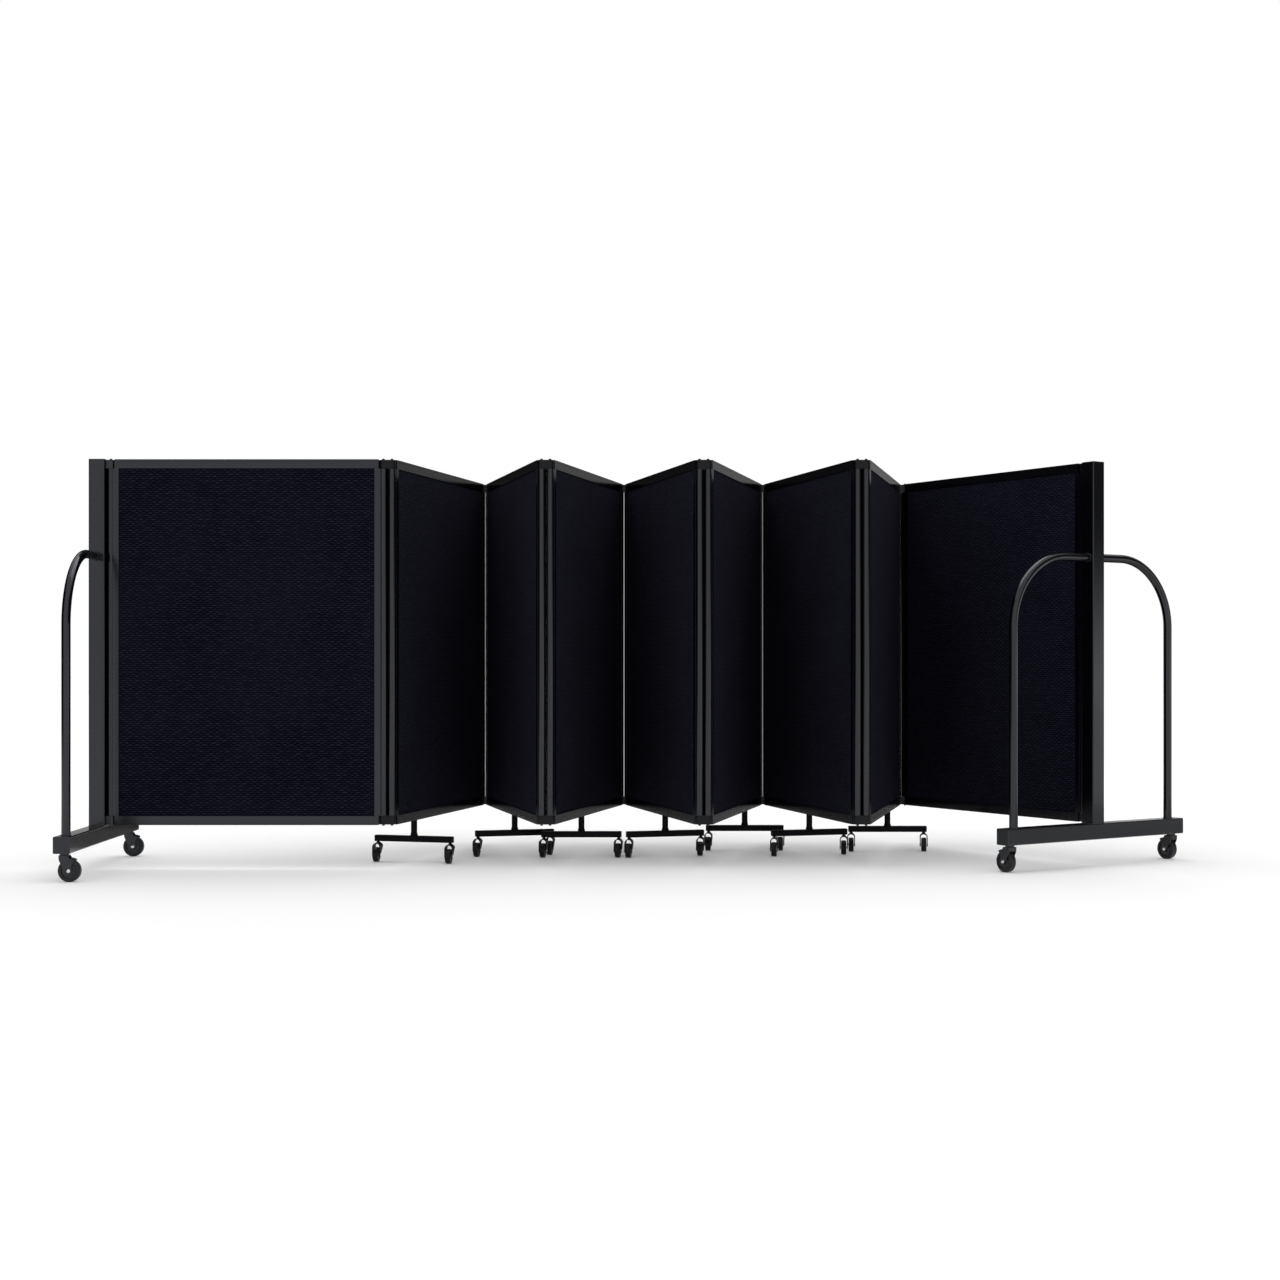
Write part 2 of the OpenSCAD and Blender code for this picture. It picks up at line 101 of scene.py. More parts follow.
def open_inputs(tree: bpy.types.NodeTree, inputs: dict[str, object]) -> None:
    """Gives a tree its named inputs.

    Args:
        tree: the tree.
        inputs: each input's name and its plain value, which sets its kind.
    """
    for label, value in inputs.items():
        kind = SOCKET_KINDS[type(value)]
        socket = tree.interface.new_socket(name=label, in_out="INPUT", socket_type=kind)
        socket.default_value = value


class Graph:
    """Adds and joins the nodes of one tree."""

    def __init__(self, tree: bpy.types.NodeTree) -> None:
        """Keeps the tree."""
        self.tree = tree

    def add(self, kind: str, inputs: dict | None = None, **settings: object) -> bpy.types.Node:
        """Adds one node.

        Args:
            kind: the node's type name.
            inputs: sockets to join or plain values to set, by the input's name or number.
            settings: the node's own properties.

        Returns:
            The new node.
        """
        node = self.tree.nodes.new(kind)
        for name, value in settings.items():
            setattr(node, name, value)
        for key, value in (inputs or {}).items():
            self.feed(node.inputs[key], value)
        return node

    def feed(self, target: Socket, value: object) -> None:
        """Joins a socket to an input, or sets the input's plain value.

        Args:
            target: the input.
            value: an output socket, or a number, vector or colour.
        """
        if isinstance(value, bpy.types.NodeSocket):
            self.tree.links.new(value, target)
        else:
            target.default_value = value

    def math(
        self, operation: str, first: object, second: object = 0.0, clamp: bool = False
    ) -> Socket:
        """Adds a math node.

        Args:
            operation: the operation's name.
            first: the first operand.
            second: the second operand.
            clamp: whether the result is kept between 0 and 1.

        Returns:
            The result's socket.
        """
        operands = {0: first, 1: second}
        return self.add(
            "ShaderNodeMath", operands, operation=operation, use_clamp=clamp
        ).outputs[0]

    def ramp(
        self, value: object, low: float, high: float, start: float = 0.0, end: float = 1.0
    ) -> Socket:
        """Adds a smooth ramp from start to end as the value goes from low to high.

        Args:
            value: the value that is mapped.
            low: where the ramp starts.
            high: where it ends.
            start: the result at low.
            end: the result at high.

        Returns:
            The result's socket.
        """
        limits = {"From Min": low, "From Max": high, "To Min": start, "To Max": end}
        node = self.add(
            "ShaderNodeMapRange", {"Value": value, **limits}, interpolation_type="SMOOTHSTEP"
        )
        return node.outputs["Result"]

    def blend(self, factor: object, first: object, second: object) -> Socket:
        """Adds a colour mix.

        Args:
            factor: the share of the second colour.
            first: the first colour.
            second: the second colour.

        Returns:
            The mixed colour's socket.
        """
        inputs = {"Factor": factor, MIX_FIRST: first, MIX_SECOND: second}
        node = self.add("ShaderNodeMix", inputs, data_type="RGBA")
        return node.outputs[MIX_RESULT]

    def place(self) -> Socket:
        """Adds the place on the piece, which moves with it."""
        return self.add("ShaderNodeTexCoord").outputs["Object"]

    def noise(self, place: object, scale: object, detail: float, **more: float) -> Socket:
        """Adds a cloudy noise."""
        inputs = {"Vector": place, "Scale": scale, "Detail": detail, **more}
        return self.add("ShaderNodeTexNoise", inputs).outputs["Fac"]

    def bump(self, height: object, depth: object) -> Socket:
        """Adds a bump."""
        node = self.add("ShaderNodeBump", {"Height": height, "Distance": depth})
        return node.outputs["Normal"]


def cleared(owner: bpy.types.Material | bpy.types.World) -> Graph:
    """Returns the graph of a material or a world, with its nodes taken out.

    Args:
        owner: the material or the world.

    Returns:
        Its empty graph.
    """
    owner.use_nodes = True
    owner.node_tree.nodes.clear()
    return Graph(owner.node_tree)


class ShaderGroup:
    """A shader effect that several finishes share, built once."""

    name: ClassVar[str] = ""
    inputs: ClassVar[dict[str, float | tuple[float, ...]]] = {}
    outputs: ClassVar[dict[str, str]] = {}

    @classmethod
    def tree(cls) -> bpy.types.NodeTree:
        """Returns the group's tree, which it builds the first time.

        Returns:
            The tree.
        """
        found = bpy.data.node_groups.get(cls.name)
        if found:
            return found
        made = bpy.data.node_groups.new(cls.name, "ShaderNodeTree")
        open_inputs(made, cls.inputs)
        for label, kind in cls.outputs.items():
            made.interface.new_socket(name=label, in_out="OUTPUT", socket_type=kind)
        graph = Graph(made)
        source = graph.add("NodeGroupInput")
        sink = graph.add("NodeGroupOutput")
        for label, value in cls.build(graph, source.outputs).items():
            graph.feed(sink.inputs[label], value)
        return made

    @classmethod
    def build(cls, graph: Graph, given: bpy.types.NodeOutputs) -> dict[str, Socket]:
        """Fills the tree."""
        raise NotImplementedError

    @classmethod
    def add_to(cls, graph: Graph, **values: object) -> bpy.types.NodeOutputs:
        """Puts the group into a material."""
        named = {key.replace("_", " "): value for key, value in values.items()}
        return graph.add("ShaderNodeGroup", named, node_tree=cls.tree()).outputs


class PaintSkin(ShaderGroup):
    """The slight ripple and the uneven gloss of sprayed or moulded black surfaces."""

    name = "paint skin"
    inputs = {"Gloss": 0.15, "Gloss spread": 0.05, "Ripple size": 0.004, "Ripple depth": 0.00002}
    outputs = {"Roughness": "NodeSocketFloat", "Normal": "NodeSocketVector"}
    smear_scale: ClassVar[float] = 9.0
    smear_detail: ClassVar[float] = 5.0
    smear_warp: ClassVar[float] = 0.6
    ripple_detail: ClassVar[float] = 2.0

    @classmethod
    def build(cls, graph: Graph, given: bpy.types.NodeOutputs) -> dict[str, Socket]:
        """Mixes a broad smear into the roughness and bumps a fine ripple.

        Args:
            graph: the tree to fill.
            given: the group's inputs.

        Returns:
            The roughness and the normal.
        """
        place = graph.place()
        smear = graph.noise(place, cls.smear_scale, cls.smear_detail, Distortion=cls.smear_warp)
        shift = graph.math("MULTIPLY", graph.math("SUBTRACT", smear, 0.5), given["Gloss spread"])
        pitch = graph.math("DIVIDE", 1.0, given["Ripple size"])
        ripple = graph.noise(place, pitch, cls.ripple_detail)
        return {
            "Roughness": graph.math("ADD", given["Gloss"], shift, clamp=True),
            "Normal": graph.bump(ripple, given["Ripple depth"]),
        }


class SettledDust(ShaderGroup):
    """A thin pale film on faces that look upwards."""

    name = "settled dust"
    inputs = {"Colour": (0.02, 0.02, 0.02, 1.0), "Amount": 0.1, "Patch size": 0.03}
    outputs = {"Colour": "NodeSocketColor", "Film": "NodeSocketFloat"}
    dust_colour: ClassVar[tuple[float, ...]] = (0.22, 0.21, 0.2, 1.0)
    tilt_limits: ClassVar[tuple[float, float]] = (0.35, 0.98)
    patch_detail: ClassVar[float] = 6.0
    patch_roughness: ClassVar[float] = 0.65
    patch_ramp: ClassVar[tuple[float, ...]] = (0.3, 0.75, 0.25, 1.0)

    @classmethod
    def build(cls, graph: Graph, given: bpy.types.NodeOutputs) -> dict[str, Socket]:
        """Masks the film by the face's tilt and by patches.

        Args:
            graph: the tree to fill.
            given: the group's inputs.

        Returns:
            The dusty colour and the film's strength.
        """
        place = graph.place()
        normal = graph.add("ShaderNodeNewGeometry").outputs["Normal"]
        tilt = graph.add("ShaderNodeSeparateXYZ", {0: normal}).outputs["Z"]
        upward = graph.ramp(tilt, *cls.tilt_limits)
        pitch = graph.math("DIVIDE", 1.0, given["Patch size"])
        cloud = graph.noise(place, pitch, cls.patch_detail, Roughness=cls.patch_roughness)
        patches = graph.ramp(cloud, *cls.patch_ramp)
        film = graph.math("MULTIPLY", graph.math("MULTIPLY", upward, patches), given["Amount"])
        return {"Film": film, "Colour": graph.blend(film, given["Colour"], cls.dust_colour)}


class LozengeWeave(ShaderGroup):
    """A coarse cloth whose flat threads make staggered lozenges, with fine threads inside them."""

    name = "lozenge weave"
    inputs = {
        "Lozenge length": 0.0200,
        "Row height": 0.0064,
        "Thread pitch": 0.0011,
        "Unevenness": 0.8,
    }
    outputs = {"Raised": "NodeSocketFloat", "Height": "NodeSocketFloat"}
    drift_scale: ClassVar[float] = 60.0
    drift_detail: ClassVar[float] = 3.0
    slope_along: ClassVar[float] = 0.80
    slope_across: ClassVar[float] = 1.15
    edge: ClassVar[tuple[float, float]] = (0.64, 0.12)
    worn: ClassVar[tuple[float, float]] = (0.62, 1.18)
    thread_height: ClassVar[float] = 0.35

    @staticmethod
    def off_middle(graph: Graph, cells: Socket) -> Socket:
        """Adds the distance from the middle of a cell."""
        return graph.math("ABSOLUTE", graph.math("SUBTRACT", graph.math("FRACT", cells), 0.5))

    @staticmethod
    def wave(graph: Graph, distance: Socket, pitch: Socket) -> Socket:
        """Adds an even wave."""
        turns = graph.math("MULTIPLY", graph.math("DIVIDE", distance, pitch), 2 * math.pi)
        return graph.math("SINE", turns)

    @classmethod
    def build(cls, graph: Graph, given: bpy.types.NodeOutputs) -> dict[str, Socket]:
        """Lays the rows on the piece's own UV map, which is in metres.

        Args:
            graph: the tree to fill.
            given: the group's inputs.

        Returns:
            The share of the raised colour and the height.
        """
        flat = graph.add("ShaderNodeUVMap", uv_map="cloth").outputs["UV"]
        drift = graph.math("SUBTRACT", graph.noise(flat, cls.drift_scale, cls.drift_detail), 0.5)
        sway = graph.math("MULTIPLY", drift, given["Unevenness"])
        axes = graph.add("ShaderNodeSeparateXYZ", {0: flat}).outputs
        rows = graph.math("ADD", graph.math("DIVIDE", axes["Y"], given["Row height"]), sway)
        row = graph.math("FLOOR", rows)
        stagger = graph.math("MULTIPLY", graph.math("MODULO", row, 2.0), 0.5)
        lengths = graph.math("DIVIDE", axes["X"], given["Lozenge length"])
        run = graph.math("ADD", graph.math("ADD", lengths, stagger), sway)
        along = graph.math("MULTIPLY", cls.off_middle(graph, run), cls.slope_along)
        across = graph.math("MULTIPLY", cls.off_middle(graph, rows), cls.slope_across)
        lozenge = graph.ramp(graph.math("ADD", along, across), *cls.edge)
        warp = cls.wave(graph, axes["X"], given["Thread pitch"])
        weft = cls.wave(graph, axes["Y"], given["Thread pitch"])
        crossing = graph.math("ADD", graph.math("MULTIPLY", warp, weft), 1.0)
        threads = graph.math("MULTIPLY", crossing, 0.5)
        cell = graph.add("ShaderNodeCombineXYZ", {0: graph.math("FLOOR", run), 1: row}).outputs[0]
        chance = graph.add("ShaderNodeTexWhiteNoise", {"Vector": cell}, noise_dimensions="3D")
        worn = graph.ramp(chance.outputs["Value"], 0.0, 1.0, *cls.worn)
        fine = graph.math("MULTIPLY", threads, cls.thread_height)
        return {
            "Raised": graph.math("MULTIPLY", lozenge, worn),
            "Height": graph.math("ADD", fine, lozenge),
        }


# --------------------------------------------------------------------------------------------
# Finishes
# --------------------------------------------------------------------------------------------


class Look(Enum):
    """Every finish on the partition, with its material's name."""

    FRAME_GLOSS = "gloss black frame coating"
    TUBE_GLOSS = "gloss black tube paint"
    CAP_SATIN = "satin black end plug"
    HINGE_CAP = "dull black hinge cap"
    FORK_SATIN = "satin black pressed steel"
    FOOT_MATT = "matt black foot coating"
    FOOT_FORK = "matt black small fork"
    CLOTH = "dark navy panel cloth"
    SEAL = "soft black seal"
    TREAD = "black wheel tread"
    HUB = "black wheel hub"
    SMALL_WHEEL = "black small wheel"
    BRIGHT = "bright zinc axle"


@dataclass(frozen=True)
class BlackCoat:
    """A black coating or moulding: its colour, gloss, fine ripple and dust."""

    colour: Colour
    gloss: float
    spread: float = 0.10
    ripple_size: float = 0.003
    ripple_depth: float = 0.00002
    dust: float = 0.02
    mirror_tint: Colour = (0.90, 0.93, 1.0)
    index: float = 1.53

    def fill(self, graph: Graph, shader: bpy.types.Node) -> None:
        """Joins the coating's nodes to the surface shader.

        Args:
            graph: the material's tree.
            shader: its Principled BSDF.
        """
        dust = SettledDust.add_to(graph, Colour=(*self.colour, 1.0), Amount=self.dust)
        skin = PaintSkin.add_to(
            graph,
            Gloss=self.gloss,
            Gloss_spread=self.spread,
            Ripple_size=self.ripple_size,
            Ripple_depth=self.ripple_depth,
        )
        dulled = graph.math("ADD", skin["Roughness"], dust["Film"], clamp=True)
        graph.feed(shader.inputs["Base Color"], dust["Colour"])
        graph.feed(shader.inputs["Roughness"], dulled)
        graph.feed(shader.inputs["Normal"], skin["Normal"])
        graph.feed(shader.inputs["IOR"], self.index)
        graph.feed(shader.inputs["Specular Tint"], (*self.mirror_tint, 1.0))


@dataclass(frozen=True)
class PanelCloth:
    """The panels' woven covering: its gaps, its raised lozenges and its nap."""

    gap: Colour
    raised: Colour
    roughness: float = 0.95
    depth: float = 0.0005
    mottle_scale: float = 160.0
    mottle_detail: float = 2.0
    mottle_depth: float = 0.55
    fade_scale: float = 4.0
    fade_detail: float = 4.0
    fade_limits: tuple[float, float] = (0.35, 0.7)
    fade_depth: float = 0.12
    mirror: float = 0.02
    nap: float = 0.012
    nap_roughness: float = 0.6
    nap_tint: Colour = (0.75, 0.75, 1.0)

    def fill(self, graph: Graph, shader: bpy.types.Node) -> None:
        """Joins the cloth's nodes to the surface shader.

        Args:
            graph: the material's tree.
            shader: its Principled BSDF.
        """
        weave = LozengeWeave.add_to(graph)
        place = graph.place()
        cloud = graph.noise(place, self.mottle_scale, self.mottle_detail)
        mottle = graph.math("MULTIPLY", cloud, self.mottle_depth)
        shade = graph.math("ADD", mottle, self.mottle_depth)
        raised = (*self.raised, 1.0)
        share = graph.math("MULTIPLY", weave["Raised"], shade, clamp=True)
        cloth = graph.blend(share, (*self.gap, 1.0), raised)
        patches = graph.noise(place, self.fade_scale, self.fade_detail)
        faded = graph.ramp(patches, *self.fade_limits, 0.0, self.fade_depth)
        graph.feed(shader.inputs["Base Color"], graph.blend(faded, cloth, raised))
        graph.feed(shader.inputs["Normal"], graph.bump(weave["Height"], self.depth))
        graph.feed(shader.inputs["Roughness"], self.roughness)
        graph.feed(shader.inputs["Specular IOR Level"], self.mirror)
        graph.feed(shader.inputs["Sheen Weight"], self.nap)
        graph.feed(shader.inputs["Sheen Roughness"], self.nap_roughness)
        graph.feed(shader.inputs["Sheen Tint"], (*self.nap_tint, 1.0))


@dataclass(frozen=True)
class BrightMetal:
    """A zinc-plated turned end: bright, with fine tool marks and a patchy tarnish."""

    colour: Colour
    roughness: float
    spread: float = 0.12
    mark_size: float = 0.0015
    mark_depth: float = 0.00001
    tarnish_scale: float = 420.0
    tarnish_detail: float = 3.0
    tarnish_limits: tuple[float, float] = (0.4, 0.7)
    tarnish_share: float = 0.72

    def fill(self, graph: Graph, shader: bpy.types.Node) -> None:
        """Joins the metal's nodes to the surface shader.

        Args:
            graph: the material's tree.
            shader: its Principled BSDF.
        """
        skin = PaintSkin.add_to(
            graph,
            Gloss=self.roughness,
            Gloss_spread=self.spread,
            Ripple_size=self.mark_size,
            Ripple_depth=self.mark_depth,
        )
        dull = tuple(self.tarnish_share * part for part in self.colour)
        patches = graph.noise(graph.place(), self.tarnish_scale, self.tarnish_detail)
        tarnish = graph.ramp(patches, *self.tarnish_limits)
        metal = graph.blend(tarnish, (*self.colour, 1.0), (*dull, 1.0))
        graph.feed(shader.inputs["Base Color"], metal)
        graph.feed(shader.inputs["Roughness"], skin["Roughness"])
        graph.feed(shader.inputs["Normal"], skin["Normal"])
        graph.feed(shader.inputs["Metallic"], 1.0)


FINISHES: dict[Look, BlackCoat | PanelCloth | BrightMetal] = {
    Look.FRAME_GLOSS: BlackCoat(
        (0.0012, 0.0013, 0.0024), gloss=0.17, spread=0.06, ripple_size=0.006, ripple_depth=0.000012
    ),
    Look.TUBE_GLOSS: BlackCoat(
        (0.0010, 0.0011, 0.0022), gloss=0.13, spread=0.06, ripple_size=0.007, ripple_depth=0.000014
    ),
    Look.CAP_SATIN: BlackCoat((0.0018, 0.0019, 0.0028), gloss=0.32, ripple_size=0.0012),
    Look.HINGE_CAP: BlackCoat(
        (0.0016, 0.0017, 0.0024), gloss=0.32, ripple_size=0.0012, index=1.31
    ),
    Look.FORK_SATIN: BlackCoat((0.0016, 0.0017, 0.0026), gloss=0.24),
    Look.FOOT_MATT: BlackCoat((0.0016, 0.0016, 0.0022), gloss=0.34, ripple_size=0.004, index=1.17),
    Look.FOOT_FORK: BlackCoat((0.0014, 0.0014, 0.0019), gloss=0.40, index=1.17),
    Look.CLOTH: PanelCloth(gap=(0.0013, 0.0013, 0.0046), raised=(0.0186, 0.0184, 0.0316)),
    Look.SEAL: BlackCoat(
        (0.0010, 0.0010, 0.0012),
        gloss=0.80,
        ripple_size=0.002,
        ripple_depth=0.00003,
        dust=0.0,
        index=1.08,
    ),
    Look.TREAD: BlackCoat(
        (0.0060, 0.0060, 0.0068),
        gloss=0.42,
        spread=0.16,
        ripple_size=0.0015,
        ripple_depth=0.00005,
        dust=0.06,
        index=1.42,
    ),
    Look.HUB: BlackCoat(
        (0.0040, 0.0040, 0.0048), gloss=0.28, spread=0.12, ripple_size=0.002, dust=0.04, index=1.50
    ),
    Look.SMALL_WHEEL: BlackCoat(
        (0.0046, 0.0046, 0.0052),
        gloss=0.42,
        spread=0.14,
        ripple_size=0.0015,
        ripple_depth=0.00005,
        dust=0.05,
        index=1.28,
    ),
    Look.BRIGHT: BrightMetal((0.80, 0.80, 0.82), roughness=0.24),
}


def material_of(look: Look) -> bpy.types.Material:
    """Returns the finish's material, which it builds the first time.

    Args:
        look: the finish.

    Returns:
        The material.
    """
    found = bpy.data.materials.get(look.value)
    if found:
        return found
    made = bpy.data.materials.new(look.value)
    graph = cleared(made)
    shader = graph.add("ShaderNodeBsdfPrincipled")
    graph.add("ShaderNodeOutputMaterial", {"Surface": shader.outputs[0]})
    FINISHES[look].fill(graph, shader)
    return made


# --------------------------------------------------------------------------------------------
# Places and outlines
# --------------------------------------------------------------------------------------------


def moved(x: float = 0.0, y: float = 0.0, z: float = 0.0) -> Matrix:
    """Returns a move along the axes."""
    return Matrix.Translation((x, y, z))


def turned(origin: Vector, run: Vector) -> Matrix:
    """Returns upright axes at a place, with X along a level direction."""
    return Matrix.Translation(origin) @ Matrix.Rotation(math.atan2(run.y, run.x), 4, "Z")


def lying(axis: str) -> Matrix:
    """Returns the turn that lays a piece's Z along X or Y."""
    columns = {"X": ((0, 1, 0), (0, 0, 1), (1, 0, 0)), "Y": ((0, 0, 1), (1, 0, 0), (0, 1, 0))}
    return Matrix(columns[axis]).transposed().to_4x4()


def upended(lower: bool) -> Matrix:
    """Returns the mirror image from top to bottom for a lower piece, and no change for an upper."""
    return Matrix.Diagonal((1, 1, -1 if lower else 1, 1))


def mirrored(half: Outline, across: float, up: float) -> Outline:
    """Returns half an outline with its mirror image behind it."""
    return half + [(across * x, up * y) for x, y in reversed(half)]


def arc(
    centre: tuple[float, float], radius: float, start: float, end: float, steps: int
) -> Outline:
    """Returns points on an arc."""
    angles = [math.radians(start + (end - start) * step / steps) for step in range(steps + 1)]
    return [(centre[0] + radius * math.cos(a), centre[1] + radius * math.sin(a)) for a in angles]


def rounded_square(side: float, radius: float, steps: int = 5) -> Outline:
    """Returns a square outline with round corners, centred.

    Args:
        side: the square's side.
        radius: the corners' radius.
        steps: the pieces in each corner.

    Returns:
        The points, anticlockwise.
    """
    reach = side / 2 - radius
    middles = ((reach, reach), (-reach, reach), (-reach, -reach), (reach, -reach))
    corners = [arc(m, radius, 90 * n, 90 * (n + 1), steps) for n, m in enumerate(middles)]
    return sum(corners, [])


# --------------------------------------------------------------------------------------------
# Pieces
# --------------------------------------------------------------------------------------------


def join_rings(
    part: bmesh.types.BMesh, lower: Points, upper: Points, closed: bool = True
) -> None:
    """Joins two rows of points with faces.

    Args:
        part: the mesh that the rows are in.
        lower: the first row.
        upper: the second row, with as many points.
        closed: whether the rows run round.
    """
    for i in range(len(lower) if closed else len(lower) - 1):
        j = (i + 1) % len(lower)
        part.faces.new((lower[i], lower[j], upper[j], upper[i]))


class Shape:
    """A piece that grows from closed parts, in the part's frame, in metres."""

    def __init__(self, name: str) -> None:
        """Starts empty.

        Args:
            name: the finished piece's name.
        """
        self.name = name
        self.mesh = bmesh.new()
        self.looks: list[Look] = []

    def absorb(
        self, part: bmesh.types.BMesh, place: Matrix, look: Look, bevel: float = 0.0
    ) -> None:
        """Takes in one closed part, with its faces pointing outwards.

        Args:
            part: the part, in its own axes; it is freed.
            place: its place in the part's frame, which may mirror it.
            look: its finish.
            bevel: the width of its softened edges, or 0 for none.
        """
        bmesh.ops.recalc_face_normals(part, faces=part.faces)
        if bevel > 0:
            solid = [e for e in part.edges if len(e.link_faces) == 2]
            edges = [e for e in solid if e.calc_face_angle(0.0) > BEVEL_ANGLE]
            bmesh.ops.bevel(
                part,
                geom=edges,
                offset=bevel,
                segments=BEVEL_SEGMENTS,
                profile=BEVEL_PROFILE,
                affect="EDGES",
                clamp_overlap=True,
            )
        part.transform(place)
        if place.determinant() < 0:
            bmesh.ops.reverse_faces(part, faces=part.faces)
        if look not in self.looks:
            self.looks.append(look)
        for face in part.faces:
            face.material_index = self.looks.index(look)
            face.smooth = True
        kept = bpy.data.meshes.new("part")
        part.to_mesh(kept)
        part.free()
        self.mesh.from_mesh(kept)
        bpy.data.meshes.remove(kept)

    def stack(
        self, rings: list[tuple[Outline, float]], place: Matrix, look: Look, bevel: float = 0.0
    ) -> None:
        """Adds outlines at rising heights, joined and closed at both ends.

        Args:
            rings: each outline and its height; all have as many points.
            place: its axes in the part's frame.
            look: its finish.
            bevel: the width of its softened edges.
        """
        part = bmesh.new()
        rows = [[part.verts.new((x, y, height)) for x, y in ring] for ring, height in rings]
        part.faces.new(reversed(rows[0]))
        part.faces.new(rows[-1])
        for lower, upper in zip(rows, rows[1:]):
            join_rings(part, lower, upper)
        self.absorb(part, place, look, bevel)

    def prism(
        self,
        outline: Outline,
        ends: tuple[float, float],
        place: Matrix,
        look: Look,
        bevel: float = 0.0,
    ) -> None:
        """Adds an outline drawn out along its own Z."""
        self.stack([(outline, ends[0]), (outline, ends[1])], place, look, bevel)

    def lathe(self, profile: Outline, place: Matrix, look: Look, sides: int) -> None:
        """Adds a profile turned about its own Z.

        Args:
            profile: radius and height of each point, from one pole to the other or round a ring.
            place: its axes in the part's frame.
            look: its finish.
            sides: the sides of the turned shape.
        """
        part = bmesh.new()
        angles = [2 * math.pi * i / sides for i in range(sides)]
        rings = []
        for radius, height in profile:
            if radius < POLE_RADIUS:
                rings.append([part.verts.new((0, 0, height))] * sides)
            else:
                spots = [(radius * math.cos(a), radius * math.sin(a), height) for a in angles]
                rings.append([part.verts.new(spot) for spot in spots])
        is_ring = profile[0][0] > POLE_RADIUS
        for lower, upper in zip(rings, rings[1:] + rings[:1] if is_ring else rings[1:]):
            for i in range(sides):
                j = (i + 1) % sides
                corners = dict.fromkeys((lower[i], lower[j], upper[j], upper[i]))
                if len(corners) > 2:
                    part.faces.new(corners)
        self.absorb(part, place, look)

    def take(self, mesh: bpy.types.Mesh, place: Matrix, look: Look) -> None:
        """Adds a mesh that a node tree made.

        Args:
            mesh: the mesh, which is removed.
            place: its axes in the part's frame.
            look: its finish.
        """
        part = bmesh.new()
        part.from_mesh(mesh)
        bpy.data.meshes.remove(mesh)
        bmesh.ops.remove_doubles(part, verts=part.verts, dist=MERGE_DISTANCE)
        self.absorb(part, place, look)

    def finish(self, body: str, slot: str, node: str) -> bpy.types.Object:
        """Makes the piece, puts it on its body and lets it stand for a CAD node.

        Args:
            body: the CAD body that it rides on.
            slot: the record's material slot; not used.
            node: the CAD node that it stands for.

        Returns:
            The finished piece.
        """
        data = bpy.data.meshes.new(self.name)
        self.mesh.to_mesh(data)
        self.mesh.free()
        for look in self.looks:
            data.materials.append(material_of(look))
        data.set_sharp_from_angle(angle=SHARP_ANGLE)
        piece = bpy.data.objects.new(self.name, data)
        bpy.context.scene.collection.objects.link(piece)
        weighting = piece.modifiers.new("even normals", "WEIGHTED_NORMAL")
        weighting.keep_sharp = True
        piece.data = plain_mesh(piece)
        piece.modifiers.clear()
        bpy.data.meshes.remove(data)
        piece.data.name = self.name
        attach(piece, body)
        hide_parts(node)
        return piece


def plain_mesh(carrier: bpy.types.Object) -> bpy.types.Mesh:
    """Returns what an object's live modifiers make of it, as plain mesh.

    Args:
        carrier: the object, which stays as it is.

    Returns:
        The new mesh.
    """
    graph = bpy.context.evaluated_depsgraph_get()
    return bpy.data.meshes.new_from_object(
        carrier.evaluated_get(graph), preserve_all_data_layers=True, depsgraph=graph
    )


# --------------------------------------------------------------------------------------------
# Geometry node trees for what follows a path or repeats
# --------------------------------------------------------------------------------------------


class GeometryTree:
    """A geometry node tree with named inputs, built once and run for each place."""

    name: ClassVar[str] = ""
    inputs: ClassVar[dict[str, float | int]] = {}

    @classmethod
    def tree(cls) -> bpy.types.NodeTree:
        """Returns the tree, which it builds the first time.

        Returns:
            The tree.
        """
        found = bpy.data.node_groups.get(cls.name)
        if found:
            return found
        made = bpy.data.node_groups.new(cls.name, "GeometryNodeTree")
        ends = (("Geometry", "OUTPUT", "Geometry"), ("Finish", "INPUT", "Material"))
        for label, side, kind in ends:
            made.interface.new_socket(name=label, in_out=side, socket_type=f"NodeSocket{kind}")
        open_inputs(made, cls.inputs)
        graph = Graph(made)
        given = graph.add("NodeGroupInput").outputs
        grown = cls.build(graph, given)
        real = graph.add("GeometryNodeRealizeInstances", {"Geometry": grown}).outputs[0]
        finish = {"Geometry": real, "Material": given["Finish"]}
        dressed = graph.add("GeometryNodeSetMaterial", finish).outputs[0]
        graph.add("NodeGroupOutput", {"Geometry": dressed})
        return made

    @classmethod
    def build(cls, graph: Graph, given: bpy.types.NodeOutputs) -> Socket:
        """Fills the tree."""
        raise NotImplementedError

    @staticmethod
    def bent(graph: Graph, curve: Socket, radius: object, steps: object) -> Socket:
        """Rounds a curve's corners."""
        inputs = {"Curve": curve, "Count": steps, "Radius": radius}
        return graph.add("GeometryNodeFilletCurve", inputs, mode="POLY").outputs[0]

    @classmethod
    def run(cls, look: Look, **values: float | int) -> bpy.types.Mesh:
        """Runs the tree once.

        Args:
            look: the finish of what it makes.
            values: the tree's inputs by name, with _ for a space.

        Returns:
            The plain mesh.
        """
        tree = cls.tree()
        spent = bpy.data.meshes.new("carrier")
        carrier = bpy.data.objects.new("carrier", spent)
        bpy.context.scene.collection.objects.link(carrier)
        modifier = carrier.modifiers.new(cls.name, "NODES")
        modifier.node_group = tree
        sockets = [item for item in tree.interface.items_tree if item.in_out == "INPUT"]
        keys = {item.name: item.identifier for item in sockets}
        modifier[keys["Finish"]] = material_of(look)
        for name, value in values.items():
            modifier[keys[name.replace("_", " ")]] = value
        made = plain_mesh(carrier)
        carrier.modifiers.clear()
        bpy.data.objects.remove(carrier)
        bpy.data.meshes.remove(spent)
        return made


